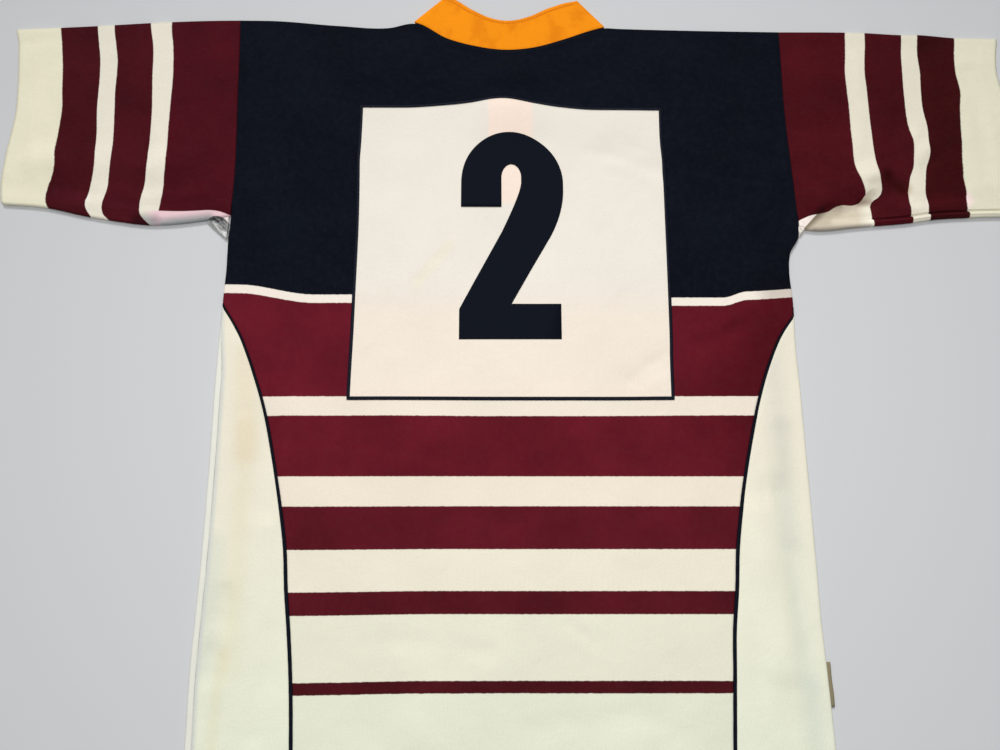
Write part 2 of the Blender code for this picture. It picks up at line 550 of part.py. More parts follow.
def sleeve_ring(side, at_armhole, low, high, lines, depth):
    """One ring of a flattened sleeve: along the surface, up round its top edge, back and down again."""
    foot, head = low + EDGE_RADIUS, high - EDGE_RADIUS
    radius = EDGE_RADIUS - depth
    y = np.concatenate((foot + SLEEVE_UNDER * (head - foot), head + radius * np.sin(TURN),
                        foot + SLEEVE_OVER * (head - foot), foot - radius * np.sin(TURN)))
    x = curve(LINE_PLACES, np.array(lines), (y - low) / (high - low))
    if at_armhole:
        x = np.abs(body_edge(side, y)) + SEAM_GAP / 2
    over = slice(len(SLEEVE_UNDER) + len(TURN), len(y) - len(TURN))
    to_edge = np.minimum(y[over] - foot, head - y[over])
    to_armhole = x[over] - np.abs(body_edge(side, y[over]))
    top = cloth_height(side * x[over], y[over], to_edge, to_armhole) - depth
    z = np.concatenate((np.full(len(SLEEVE_UNDER), depth), EDGE_RADIUS - radius * np.cos(TURN), top,
                        EDGE_RADIUS + radius * np.cos(TURN)))
    return np.stack((side * x, y, z), -1)


def sleeve(name, side, lines):
    """A sleeve as one flattened tube, along lines that run across it from the armhole to the cuff."""
    rows = np.array(list(lines.values())).T
    stations = []
    for band, steps in enumerate(SLEEVE_STEPS):
        shares = np.arange(steps)[:, None] / steps
        stations.extend((1 - shares) * rows[band] + shares * rows[band + 1])
    stations.append(rows[-1])
    outer, inner = (
        np.array([sleeve_ring(side, number == 0, low, high, across, depth)
                  for number, (low, high, *across) in enumerate(stations)])
        for depth in (0.0, WALL))
    bands = np.repeat([("maroon", "cream").index(colour) for colour in SLEEVE_BANDS], SLEEVE_STEPS)
    cells = np.repeat(bands[:, None], outer.shape[1], axis=1)
    cells[: sum(SLEEVE_STEPS[:3]), -UNDERARM_CELLS:] = 1
    cells[: sum(SLEEVE_STEPS[:3]), 0] = 1
    wall(name, outer, inner, ["maroon", "cream"], cells, ring=True)


def gusset_grid(corner, start, end, depth):
    """Points of a gusset folded along the edge from start to end, with its cut edges at the corner."""
    run = end - start
    along = run / np.hypot(*run)
    away = np.array((along[1], -along[0]))
    away *= np.sign(away.dot(start - corner))
    foot = (corner - start).dot(along) / np.hypot(*run)
    tallest = (start - corner).dot(away)
    radius = EDGE_RADIUS - depth
    rows = []
    for share in GUSSET_SHARES:
        fold = start + share * run
        reach = tallest * min(share / foot, (1 - share) / (1 - foot)) - EDGE_RADIUS
        out = np.concatenate((-EDGE_RADIUS - reach * GUSSET_OVER, radius * np.sin(TURN) - EDGE_RADIUS,
                              -EDGE_RADIUS - reach * GUSSET_UNDER))
        crease = GUSSET_CREASE * math.cos(2 * math.pi * GUSSET_CREASES * share)
        top = ROLLED - depth + crease * GUSSET_CREASED - GUSSET_SLOPE * GUSSET_OVER
        z = np.concatenate((top, EDGE_RADIUS + radius * np.cos(TURN), np.full(len(GUSSET_UNDER), depth)))
        rows.append(np.column_stack((fold[0] + out * away[0], fold[1] + out * away[1], z)))
    return np.array(rows)


def gussets():
    """Small underarm gussets, each folded along the edge that bridges its armpit."""
    for name, corners in GUSSETS.items():
        points = [np.array(point) for point in corners]
        grids = [gusset_grid(*points, depth) for depth in (0.0, WALL)]
        wall(name, *grids, ["silver" if name.endswith("left") else "cream"])


# ---------------------------------------------------------------- collar, numeral and label
def collar_ring(width, depth):
    """One ring of the band at a share of its width: back half, left fold, hidden front half, right fold."""
    plan_x = BAND_BACK * (1 - width * (1 - BAND_TAPER))
    seam_y = top_edge(BAND_BACK) + BAND_INSET
    rim_y = curve(COLLAR_TOP["across"], COLLAR_TOP["up"], BAND_BACK * BAND_TAPER)
    plan_y = (1 - width) * seam_y + width * rim_y
    near_fold = 1.0 - ease((NECK_HALF - np.abs(BAND_BACK)) / COLLAR_FOLD_RUN)
    lift = COLLAR_LIFT * width * ease((NECK_HALF - np.abs(BAND_BACK)) / COLLAR_LIFT_RUN)
    back = np.column_stack((plan_x, plan_y, PRESSED + (ROLLED - PRESSED) * near_fold + lift - depth))

    seam_x = BAND_FRONT * (1 - 2 * BAND_INSET / NECK_HALF)
    top_y = np.interp(BAND_FRONT, (-NECK_HALF, NECK_HALF), COLLAR_ENDS)
    top_y = top_y - COLLAR_TOP_DROP * np.sqrt(1 - (BAND_FRONT / NECK_HALF) ** 2)
    front_x = (1 - width) * seam_x + width * BAND_FRONT * BAND_TAPER
    front_y = (1 - width) * (front_neck(BAND_FRONT) + 2 * BAND_INSET) + width * top_y
    front = np.column_stack((front_x, front_y, np.full(len(BAND_FRONT), depth)))

    radius = EDGE_RADIUS - depth
    turned = {}
    for side, (low, high) in COLLAR_FOLDS.items():
        low, high = np.array(low), np.array(high)
        along = (high - low) / np.hypot(*(high - low))
        away = np.array((side * along[1], -side * along[0]))
        centre = (1 - width) * low + width * high - EDGE_RADIUS * away
        plan = centre + radius * np.outer(np.sin(BAND_TURN), away)
        turned[side] = np.column_stack((plan, EDGE_RADIUS + radius * np.cos(BAND_TURN)))
    return np.concatenate((back, turned[-1], front, turned[1][::-1]))


def collar_band():
    """Stand band all round the neck: its back half lies on top, its front half under the back."""
    grids = [np.array([collar_ring(width, depth) for width in BAND_WIDTHS]) for depth in (0.0, WALL)]
    wall("collar_band", *grids, ["orange"], ring=True)


def bend(start, through, end, count):
    """Points of a smooth bend that starts and ends towards its middle point."""
    t = np.linspace(0.0, 1.0, count)[:, None]
    return (1 - t) ** 2 * np.array(start) + 2 * t * (1 - t) * np.array(through) + t * t * np.array(end)


def arc(centre, radii, first, last, count):
    """Points along an ellipse, with angles in degrees from +X."""
    angle = np.radians(np.linspace(first, last, count))
    return np.column_stack((centre[0] + radii[0] * np.cos(angle), centre[1] + radii[1] * np.sin(angle)))


def panel_surface(panel, across, up):
    """Height of the number panel's own facets under a point, where its rows are level."""
    xs, ys = panel[0, :, 0], panel[:, 0, 1]
    j = np.clip(np.searchsorted(xs, across) - 1, 0, len(xs) - 2)
    i = np.clip(np.searchsorted(ys, up) - 1, 0, len(ys) - 2)
    s, t = (across - xs[j]) / (xs[j + 1] - xs[j]), (up - ys[i]) / (ys[i + 1] - ys[i])
    z00, z01, z10, z11 = (panel[i + a, j + b, 2] for a in (0, 1) for b in (0, 1))
    return np.where(s >= t, z00 + s * (z01 - z00) + t * (z11 - z01), z00 + t * (z10 - z00) + s * (z11 - z10))


def number_two(panel):
    """Plain condensed numeral, drawn as one band between its outer and its inner outline."""
    n = NUMERAL
    outer_line = np.concatenate((
        [(n["left"], n["stem_low"]), (n["left"], n["stem_high"])],
        arc(n["bowl"], (n["bowl"][0] - n["left"], n["bowl_rise"]), 180, 90, 7),
        arc(n["bowl"], (n["right"] - n["bowl"][0], n["bowl_rise"]), 75, 0, 6),
        bend(*n["outer_bend"], 6)[1:],
        [n["outer_slope"]],
        [(x, n["base_high"]) for x in n["base_steps"]],
    ))
    inner_line = np.concatenate((
        [(n["stem_right"], n["stem_low"]), (n["stem_right"], n["stem_high"])],
        arc(n["counter"], n["counter_radii"], 180, 90, 7),
        arc(n["counter"], n["counter_radii"], 75, 0, 6),
        bend(*n["inner_bend"], 6)[1:],
        [n["inner_slope"], (n["base_left"], n["heel"])],
        [(x, n["base_low"]) for x in (n["base_left"], n["base_middle"], n["base_steps"][-1])],
    ))
    plan = (1 - NUMERAL_SHARES) * outer_line[None] + NUMERAL_SHARES * inner_line[None]
    under = panel_surface(panel, plan[..., 0], plan[..., 1]) + SEAM_GAP
    lower = np.dstack((plan, under))
    upper = np.dstack((plan, under + NUMERAL_WALL))
    wall("number_two", upper, lower, ["navy"])


def side_label():
    """Blank folded tab caught in the right side seam."""
    up = np.linspace(*LABEL_SPAN, 4)
    x = body_edge(1, up)[:, None] + SEAM_GAP + np.linspace(0.0, LABEL_REACH, 3)
    plan = np.dstack((x, np.broadcast_to(up[:, None], x.shape)))
    low, high = (np.dstack((plan, np.full(x.shape, z))) for z in LABEL_HEIGHTS)
    wall("side_label", high, low, ["label"])


# ---------------------------------------------------------------- the shirt
for existing in list(bpy.data.objects):
    bpy.data.objects.remove(existing, do_unlink=True)

SHIRT = bpy.data.objects.new("shirt", None)
reach_left, reach_right = (max(lines[f"l{n}"][-1] for n in range(7)) for lines in (LEFT_SLEEVE, RIGHT_SLEEVE))
SHIRT.location = ((reach_left - reach_right) / 2, -COLLAR_FOLDS[-1][1][1] / 2, 0.0)
bpy.context.scene.collection.objects.link(SHIRT)

back_points = back_panel()
back_sides()
front_panel()
sleeve("sleeve_left", -1, LEFT_SLEEVE)
sleeve("sleeve_right", 1, RIGHT_SLEEVE)
gussets()
collar_band()
number_two(number_panel(back_points))
side_label()
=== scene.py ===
"""Rugby shirt spread flat on its front: cloth, seams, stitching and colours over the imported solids.

Every shape is drawn in the shirt's own sizes, in metres: x across from the centreline, y up from the hem,
z up from the surface that it lies on.  dress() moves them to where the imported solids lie.
"""

import math

import bpy
import numpy as np
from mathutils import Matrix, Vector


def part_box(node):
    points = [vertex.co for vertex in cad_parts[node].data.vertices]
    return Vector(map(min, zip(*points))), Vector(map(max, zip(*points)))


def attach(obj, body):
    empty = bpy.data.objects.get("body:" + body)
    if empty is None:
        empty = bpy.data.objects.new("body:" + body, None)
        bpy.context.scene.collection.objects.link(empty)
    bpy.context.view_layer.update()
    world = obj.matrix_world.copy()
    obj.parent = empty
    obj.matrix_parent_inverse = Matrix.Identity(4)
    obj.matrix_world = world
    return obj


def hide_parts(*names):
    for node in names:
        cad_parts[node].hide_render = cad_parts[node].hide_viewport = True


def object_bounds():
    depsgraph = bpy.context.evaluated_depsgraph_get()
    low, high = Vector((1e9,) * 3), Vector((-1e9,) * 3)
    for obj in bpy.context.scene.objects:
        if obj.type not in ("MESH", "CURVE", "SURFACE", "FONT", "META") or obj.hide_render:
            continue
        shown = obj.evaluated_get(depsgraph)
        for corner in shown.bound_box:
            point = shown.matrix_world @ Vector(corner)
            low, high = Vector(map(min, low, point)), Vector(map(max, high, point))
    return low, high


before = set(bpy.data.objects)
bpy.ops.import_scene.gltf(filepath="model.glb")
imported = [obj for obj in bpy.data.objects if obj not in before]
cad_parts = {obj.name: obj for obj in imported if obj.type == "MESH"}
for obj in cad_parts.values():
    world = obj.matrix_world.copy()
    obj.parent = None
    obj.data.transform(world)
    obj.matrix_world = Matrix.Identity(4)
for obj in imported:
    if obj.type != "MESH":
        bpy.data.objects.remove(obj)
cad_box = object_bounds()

# ---------------------------------------------------------------- hooped back
# The back is one piece of knitted polyester jersey, with cream and maroon hoops and a navy yoke in the
# knitting.  It lies on the front and is turned under at its edges to the side and shoulder seams.
number_low, number_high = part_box("number_panel")
SHIRT = np.array(((number_low.x + number_high.x) / 2, cad_box[0].y, 0.0))   # centreline and hem

WALL = 0.0010              # jersey
PLY = 0.0032               # front and back, pressed, with the air between them
TURN = 0.0022              # radius of the turned edges
LOFT = 0.0020              # how far the back rides over the front away from its edges
ARMPIT = 0.5100
NECK_HALF = 0.0977
PANEL_LOW, PANEL_HIGH = 0.3501, 0.6477
SHOULDER = 0.7450
TOP_CLEAR = 0.0044         # the back's last level row lies this far below its top edge
SEAM_TURN = math.radians(100)      # how far round a turned edge its seam lies
CURVE_TIP, STRIP_TIP = 0.4360, 0.4365      # where the curved seams and the navy strips end
NOT_BEYOND = -0.05         # stands for cloth that isn't past a curved seam


def table(names, *rows):
    """Named columns from rows of numbers."""
    return dict(zip(names.split(), np.array(rows, dtype=float).T))


BODY_EDGE = table(
    "up left right",
    (0.000, -0.2855, 0.2832), (0.040, -0.2846, 0.2823), (0.105, -0.2850, 0.2800), (0.145, -0.2838, 0.2782),
    (0.200, -0.2820, 0.2775), (0.300, -0.2806, 0.2757), (0.370, -0.2804, 0.2743), (0.400, -0.2797, 0.2733),
    (0.440, -0.2785, 0.2739), (0.475, -0.2773, 0.2725), (0.490, -0.2775, 0.2738), (0.4975, -0.2775, 0.2759),
    (0.5025, -0.2776, 0.2793), (0.507, -0.2776, 0.2820), (0.511, -0.2775, 0.2837), (0.520, -0.2766, 0.2846),
    (0.545, -0.2761, 0.2838), (0.580, -0.2754, 0.2822), (0.620, -0.2762, 0.2801), (0.660, -0.2776, 0.2790),
    (0.700, -0.2786, 0.2793), (0.737, -0.2797, 0.2790), (0.752, -0.2801, 0.2790),
)
TOP_EDGE = table(
    "across up",
    (-0.281, 0.7507), (-0.245, 0.7501), (-0.177, 0.7443), (-0.125, 0.7420), (-0.0977, 0.7470),
    (-0.064, 0.7292), (-0.037, 0.7211), (-0.005, 0.7165), (0.024, 0.7190), (0.0585, 0.7292),
    (0.083, 0.7380), (0.0977, 0.7416), (0.112, 0.7410), (0.198, 0.7385), (0.280, 0.7370),
)
SIDE_CURVE = table(        # seam between the back and its side panels on each side, and the piping's width
    "up left right width",
    (0.000, 0.1902, 0.1932, 0.0033), (0.040, 0.1915, 0.1945, 0.0033), (0.104, 0.1952, 0.1977, 0.0033),
    (0.142, 0.1989, 0.1997, 0.0034), (0.177, 0.2029, 0.2038, 0.0034), (0.2135, 0.2060, 0.2068, 0.0033),
    (0.253, 0.2127, 0.2127, 0.0032), (0.295, 0.2218, 0.2211, 0.0030), (0.353, 0.2363, 0.2355, 0.0028),
    (0.373, 0.2434, 0.2421, 0.0027), (0.388, 0.2490, 0.2480, 0.0027), (0.398, 0.2533, 0.2524, 0.0026),
    (0.408, 0.2584, 0.2576, 0.0026), (0.416, 0.2637, 0.2630, 0.0026), (0.424, 0.2697, 0.2697, 0.0025),
    (0.430, 0.2746, 0.2752, 0.0025), (0.436, 0.2793, 0.2800, 0.0025),
)
PANEL_EDGE = table(        # sides of the number panel
    "up left right",
    (0.3501, 0.1532, 0.1531), (0.375, 0.1529, 0.1531), (0.410, 0.1520, 0.1537), (0.470, 0.1512, 0.1541),
    (0.520, 0.1506, 0.1541), (0.575, 0.1514, 0.1539), (0.592, 0.1518, 0.1537), (0.606, 0.1512, 0.1526),
    (0.6477, 0.1505, 0.1524),
)
HOOPS = (                  # each hoop's dye from the hem up, and where it ends; towards the hem the maroons are painted darker and the creams greener, painted shade of the light falling off there
    ((231, 233, 212), 0.0867), ((73, 17, 24), 0.0972), ((234, 232, 211), 0.1538), ((82, 18, 28), 0.1740),
    ((237, 231, 211), 0.2108), ((91, 20, 32), 0.2494), ((239, 228, 210), 0.2767), ((98, 21, 34), 0.3337),
    ((239, 228, 212), 0.3520), ((99, 21, 35), 0.4454), ((244, 234, 221), 0.4537), ((8, 13, 24), 0.8000),
)
# Creases pressed or pulled into the cloth: the two ends, how far the middle bows aside, height, reach.
CREASES = table(
    "x0 y0 x1 y1 bow height reach",
    (0.000, 0.706, -0.004, 0.650, 0.000, 0.0045, 0.055),      # swell under the middle of the collar
    (-0.075, 0.712, -0.150, 0.690, 0.000, 0.0025, 0.040),
    (0.085, 0.722, 0.160, 0.700, 0.000, 0.0025, 0.040),
    (0.075, 0.604, 0.152, 0.580, 0.000, -0.0009, 0.028),      # slanting trough on the number panel
    (0.030, 0.640, 0.120, 0.628, 0.000, 0.0009, 0.032),
    (0.118, 0.366, 0.150, 0.392, 0.000, -0.0007, 0.024),      # lower right corner of the panel
    (0.210, 0.515, 0.255, 0.560, 0.000, 0.0030, 0.034),       # pulls towards the armholes
    (-0.215, 0.500, -0.255, 0.548, 0.000, 0.0026, 0.034),
    (-0.235, 0.400, -0.225, 0.250, 0.000, -0.0016, 0.022),    # left side panel
    (-0.262, 0.160, -0.268, 0.110, 0.000, -0.0018, 0.026),
    (0.245, 0.262, 0.268, 0.130, 0.000, -0.0018, 0.024),      # right side panel
    (0.222, 0.240, 0.242, 0.110, 0.000, 0.0022, 0.024),
    (-0.120, 0.310, 0.050, 0.322, 0.000, 0.0014, 0.050),
    (-0.060, 0.060, -0.110, 0.010, 0.000, 0.0018, 0.050),
    (0.100, 0.030, 0.150, 0.005, 0.000, 0.0020, 0.045),
    (0.078, 0.603, 0.150, 0.580, 0.002, -0.0005, 0.010),      # sharper lines in those soft folds
    (0.081, 0.640, 0.132, 0.603, -0.003, -0.0003, 0.009),
    (0.100, 0.588, 0.150, 0.564, 0.002, 0.0005, 0.010),
    (0.162, 0.590, 0.276, 0.564, 0.000, -0.0006, 0.013),      # across the yoke to the right armhole
    (0.172, 0.586, 0.272, 0.5665, -0.002, -0.0012, 0.0055),
    (0.180, 0.577, 0.256, 0.561, -0.001, 0.0008, 0.007),
    (0.192, 0.578, 0.236, 0.5525, 0.002, -0.0009, 0.0050),
    (0.236, 0.603, 0.273, 0.592, 0.001, -0.0009, 0.008),
    (0.246, 0.519, 0.278, 0.514, 0.000, -0.0011, 0.008),
    (-0.064, 0.500, -0.091, 0.466, 0.001, -0.0005, 0.007),    # left of the numeral
    (-0.056, 0.506, -0.078, 0.478, 0.001, 0.0003, 0.008),
    (0.114, 0.368, 0.151, 0.393, 0.002, -0.0005, 0.008),
    (0.124, 0.356, 0.150, 0.372, 0.001, 0.0003, 0.008),
    (0.180, 0.404, 0.236, 0.428, -0.003, -0.0013, 0.012),     # right end of the broad hoop
    (0.188, 0.418, 0.228, 0.438, -0.002, 0.0008, 0.010),
    (-0.268, 0.520, -0.216, 0.560, -0.004, -0.0004, 0.009),   # fan of creases from the left armpit
    (-0.270, 0.506, -0.208, 0.516, -0.003, -0.0003, 0.009),
    (-0.263, 0.530, -0.256, 0.488, 0.002, -0.0012, 0.008),
    (-0.268, 0.534, -0.264, 0.494, 0.002, 0.0009, 0.006),
    (-0.190, 0.617, -0.162, 0.606, 0.001, -0.0011, 0.007),    # faint lines in the yoke
    (-0.214, 0.706, -0.168, 0.672, 0.003, -0.0005, 0.012),
    (0.188, 0.684, 0.244, 0.660, -0.003, -0.0005, 0.012),
    (-0.060, 0.700, -0.094, 0.684, 0.002, -0.0006, 0.010),    # under the collar
    (0.052, 0.702, 0.092, 0.694, -0.002, -0.0007, 0.010),
    (-0.016, 0.694, 0.030, 0.690, -0.002, -0.0005, 0.012),
    (-0.236, 0.388, -0.222, 0.240, 0.003, -0.0008, 0.010),
    (-0.250, 0.330, -0.240, 0.190, 0.003, 0.0006, 0.010),
    (-0.256, 0.176, -0.264, 0.120, 0.002, -0.0009, 0.009),
    (-0.214, 0.140, -0.226, 0.050, 0.003, -0.0007, 0.012),
    (0.248, 0.260, 0.270, 0.130, -0.003, -0.0009, 0.010),
    (0.232, 0.330, 0.246, 0.236, -0.002, 0.0006, 0.010),
    (0.216, 0.120, 0.232, 0.030, -0.003, -0.0007, 0.012),
    (-0.150, 0.300, -0.060, 0.292, 0.004, -0.0005, 0.014),    # long faint lines across the hoops
    (0.036, 0.232, 0.150, 0.222, -0.004, -0.0004, 0.014),
    (-0.130, 0.128, -0.020, 0.120, 0.004, -0.0005, 0.014),
    (0.052, 0.144, 0.074, 0.128, 0.001, -0.0006, 0.008),
    (0.020, 0.056, 0.130, 0.066, 0.004, -0.0005, 0.016),
)
DEEPEST = 0.0014           # how far a crease presses into the layers below at most
DRIFT = table(             # long slow waves of cloth that was smoothed by hand
    "length heading height start",
    (0.310, 12, 0.00030, 0.4), (0.230, 74, 0.00028, 2.1), (0.171, 133, 0.00022, 4.0),
    (0.118, 38, 0.00016, 1.3), (0.083, 101, 0.00012, 5.2), (0.061, 160, 0.00008, 3.1),
    (0.047, 62, 0.00006, 0.9), (0.036, 119, 0.00004, 2.7),
)
# The hoop under the yoke is drawn up towards the sides: how far, from where, over what width.
HOOP_PULLS = table("side rise start run", (-1, 0.0105, 0.190, 0.075), (1, 0.0061, 0.2057, 0.024),
                   (1, 0.0035, 0.228, 0.060))
PULLED_HOOP, PULLED_REACH = 0.452, 0.060
HOOP_DROP, HOOP_TILT = 0.0032, 0.0015      # it hangs low in the middle, and lower still at the right
BOW, BOW_MIDDLE = 0.0095, -0.007           # the top of the number panel is bowed up round here


def ease(t):
    """0 to 1 with level ends."""
    t = np.clip(t, 0.0, 1.0)
    return t * t * (3.0 - 2.0 * t)


def curve(xs, ys, at):
    """Smooth line through points: between each two a cubic with the neighbours' mean slopes.

    ys may hold a row of values for each row of at.
    """
    at = np.asarray(at, dtype=float)
    slopes = np.gradient(ys, xs, axis=-1)
    i = np.clip(np.searchsorted(xs, at) - 1, 0, len(xs) - 2)
    width = xs[i + 1] - xs[i]
    t = np.clip((at - xs[i]) / width, 0.0, 1.0)

    def pick(values, k):
        """Values at k, from one row or from each row of values."""
        return values[k] if np.ndim(values) == 1 else np.take_along_axis(values, k, -1)

    start = (1 + 2 * t) * (1 - t) ** 2 * pick(ys, i) + t * (1 - t) ** 2 * width * pick(slopes, i)
    return start + t * t * (3 - 2 * t) * pick(ys, i + 1) - t * t * (1 - t) * width * pick(slopes, i + 1)


def body_edge(side, up):
    """Distance of the body's edge from the centreline, on the left where side is negative."""
    return np.where(side < 0, -curve(BODY_EDGE["up"], BODY_EDGE["left"], up),
                    curve(BODY_EDGE["up"], BODY_EDGE["right"], up))


def top_edge(across):
    """Height up the shirt of its top edge: the shoulders, and the dip of the neck seam between them."""
    return curve(TOP_EDGE["across"], TOP_EDGE["up"], across)


def creases(x, y):
    """Sum of the creases: each falls off from its bowed line, and fades towards its two ends."""
    height = np.zeros(np.broadcast(x, y).shape)
    for x0, y0, x1, y1, bow, peak, reach in zip(*CREASES.values()):
        length = math.hypot(x1 - x0, y1 - y0)
        along = ((x - x0) * (x1 - x0) + (y - y0) * (y1 - y0)) / length
        aside = ((y - y0) * (x1 - x0) - (x - x0) * (y1 - y0)) / length
        t = np.clip(along / length, 0.0, 1.0)
        beyond = along - t * length
        aside = aside - bow * 4 * t * (1 - t)
        height += peak * ease(1.0 - np.hypot(beyond, aside) / reach) * (1.0 - 0.35 * np.cos(9 * t + x0 * 90))
    return height


def drift(x, y):
    """Sum of the long slow waves."""
    height = np.zeros(np.broadcast(x, y).shape)
    for length, heading, peak, start in zip(*DRIFT.values()):
        turned = x * math.cos(math.radians(heading)) + y * math.sin(math.radians(heading))
        height += peak * np.sin(2 * math.pi * turned / length + start)
    return height


def top_layer(x, y, to_turn, to_seam):
    """Height of the upper layer: turned edges stand high, seams lie low, and it lofts in between."""
    inner = np.minimum(to_turn, to_seam)
    swell = LOFT * ease(inner / 0.030) + (creases(x, y) + drift(x, y)) * ease(inner / 0.015)
    swell = np.where(swell < 0.0, DEEPEST * np.tanh(swell / DEEPEST), swell)
    rim = (2 * TURN - PLY) * (1.0 - ease(to_turn / 0.020))
    ridge = 0.0009 * (1.0 - ease((to_seam - 0.002) / 0.005)) - 0.0006 * (1.0 - ease(to_seam / 0.0016))
    return PLY + rim + swell + ridge


def at_neck(x):
    """True where the top edge is the neck seam, and not a shoulder."""
    return np.abs(x) < NECK_HALF - 0.0003


FAR = 1.0                  # stands for a distance to an edge that isn't there


def back_height(x, y):
    """Height of the back's outer face from its distances to the turned edges and the seams."""
    to_side = body_edge(x, y) - TURN - np.abs(x)
    to_top = top_edge(x) - TURN - y
    high = y > ARMPIT
    to_turn = np.minimum(np.where(high, FAR, to_side), np.where(at_neck(x), FAR, to_top))
    to_seam = np.minimum(np.where(high, to_side, FAR), np.where(at_neck(x), to_top, FAR))
    return top_layer(x, y, np.maximum(to_turn, 0.0), np.maximum(to_seam, 0.0))


def row_line(level, x):
    """Height up the shirt of a row of stitches that was knitted level: drawn up at the sides of the yoke,
    bowed up in the middle of the number panel's top, drooping at the lower left, and shared out evenly
    between there and the top edge."""
    low = np.minimum(level, PANEL_HIGH)
    near_hoop = ease(1.0 - np.abs(low - PULLED_HOOP) / PULLED_REACH)
    pulled = sum(rise * ease((side * x - start) / run)
                 for side, rise, start, run in zip(*HOOP_PULLS.values()))
    pulled = pulled - HOOP_DROP - HOOP_TILT * np.clip(x / 0.16, -1.0, 1.0)
    off = np.abs(x - BOW_MIDDLE)
    bowed = 0.75 * ease(1.0 - off / 0.100) + 0.25 * ease(1.0 - off / 0.034)
    top = BOW * bowed * ease(1.0 - (PANEL_HIGH - low) / 0.020)
    tilt = 0.0034 * ease(0.5 - x / 0.200) * ease(1.0 - (PANEL_HIGH - low) / 0.080)
    droop = 0.0020 * ease((-x - 0.060) / 0.140) * ease((0.300 - low) / 0.200)
    sag = 0.0008 * ease(1.0 - np.abs(x - 0.02) / 0.16) * ease(1.0 - np.abs(low - 0.330) / 0.060)
    share = np.clip((level - PANEL_HIGH) / (SHOULDER - PANEL_HIGH), 0.0, 1.0)
    line = low + near_hoop * pulled + top + tilt - droop - sag
    return (1.0 - share) * line + share * (top_edge(x) - TOP_CLEAR)


def lay(q, level):
    """Point of the back's outer face at q across its cloth and a level up it: flat cloth keeps q as its
    place, and past the start of the turned edge it follows a half circle under."""
    side = np.sign(q)
    start = body_edge(q, level) - TURN
    past = np.where(level > ARMPIT, -1.0, np.abs(q) - start)
    angle = np.clip(past / TURN, 0.0, math.pi)
    x = np.where(past > 0, side * (start + TURN * np.sin(angle)), q)
    y = row_line(level, x)
    return points_of(x, y, np.where(past > 0, TURN * (1 + np.cos(angle)), back_height(x, y)))


def half_curve(side, up):
    """Distance of the curved seam from the centreline, on the left where side is negative."""
    return np.where(side < 0, curve(SIDE_CURVE["up"], SIDE_CURVE["left"], up),
                    curve(SIDE_CURVE["up"], SIDE_CURVE["right"], up))


def half_piping(up):
    """Half the width of the navy strip in the curved seams."""
    return curve(SIDE_CURVE["up"], SIDE_CURVE["width"], up) / 2


SEAM_INSET = 0.0060        # how far inside the left edge the side seam has rolled


def side_seam(side, up):
    """Place of the side seam across the back's cloth: just under the edge, or on the back at the left, and
    drawn in where it opens into the armhole."""
    under = body_edge(side, up) - TURN + TURN * SEAM_TURN
    inset = body_edge(side, up) - SEAM_INSET
    rolled = ease((0.4437 - up) / 0.077) * (side < 0)
    opening = 0.6 * ease((up - 0.5045) / 0.006)
    return under + rolled * (inset - under) - opening * TURN * SEAM_TURN


def strip_middle(side, up):
    """Middle of the navy strip: on the curved seam, and held just inside the side seam near its top."""
    return np.minimum(half_curve(side, up), side_seam(side, up) - half_piping(up) - 0.0001)


NEAR = np.array((0.0, 0.0005, 0.0011, 0.0018, 0.0027, 0.0040, 0.0058, 0.0080))     # close rows at a border


def columns(left, right, count):
    """Places from one border to the other: close together near both, evenly shared between."""
    near = NEAR * np.clip((right - left) / 0.030, 0.0, 1.0)[:, None]
    first, last = left[:, None] + near, right[:, None] - near[:, ::-1]
    between = first[:, -1:] + (last[:, :1] - first[:, -1:]) * np.linspace(0.0, 1.0, count + 2)[1:-1]
    return np.concatenate((first, between, last), axis=1)


def groove(distance, depth=0.0006, width=0.0016):
    """How far cloth dips where it meets its neighbour in a seam."""
    return depth * (1.0 - ease(distance / width))


def hem_dip(up):
    """How far cloth dips at the hem: its fold is rounded off, and the width that is turned in stands up."""
    return 0.0008 * (1 - ease(up / 0.0018)) - 0.0004 * (1 - ease((up - 0.021) / 0.003))


def points_of(x, y, z=0.0):
    """Points, or places on the cloth, from their three numbers, each a grid or one that spreads to it."""
    return np.stack(np.broadcast_arrays(x, y, z), -1)


def dress(name, points, material, ring=False, flip=False, thickness=0.0, **fields):
    """A piece of cloth through a grid of points, with its materials and the fields that they read.

    Each cell between four neighbouring points is a face; ring joins the last column to the first.
    """
    rows, count = points.shape[:2]
    i, j = np.meshgrid(np.arange(rows - 1), np.arange(count if ring else count - 1), indexing="ij")
    across = (j + 1) % count
    faces = np.stack((i * count + j, i * count + across, (i + 1) * count + across, (i + 1) * count + j), -1)
    faces = faces.reshape(-1, 4)[:, ::-1] if flip else faces.reshape(-1, 4)
    return mesh_piece(name, points.reshape(-1, 3), faces, material, thickness, **fields)


def mesh_piece(name, points, faces, material, thickness=0.0, **fields):
    """Puts points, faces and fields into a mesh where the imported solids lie, and hangs it on the root."""
    mesh = bpy.data.meshes.new(name)
    mesh.from_pydata((points + SHIRT).tolist(), [], faces.tolist())
    for title, values in fields.items():
        vector = values.ndim > 1 and values.shape[-1] == 3
        kind, part = ("FLOAT_VECTOR", "vector") if vector else ("FLOAT", "value")
        layer = mesh.attributes.new(title, kind, "POINT")
        layer.data.foreach_set(part, np.ascontiguousarray(values, dtype=np.float32).reshape(-1))
    mesh.shade_smooth()
    mesh.materials.append(material)
    piece = bpy.data.objects.new(name, mesh)
    bpy.context.scene.collection.objects.link(piece)
    if thickness:
        wall = piece.modifiers.new("wall", "SOLIDIFY")
        wall.thickness = thickness
        wall.offset = -1.0
    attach(piece, "root")
    return piece


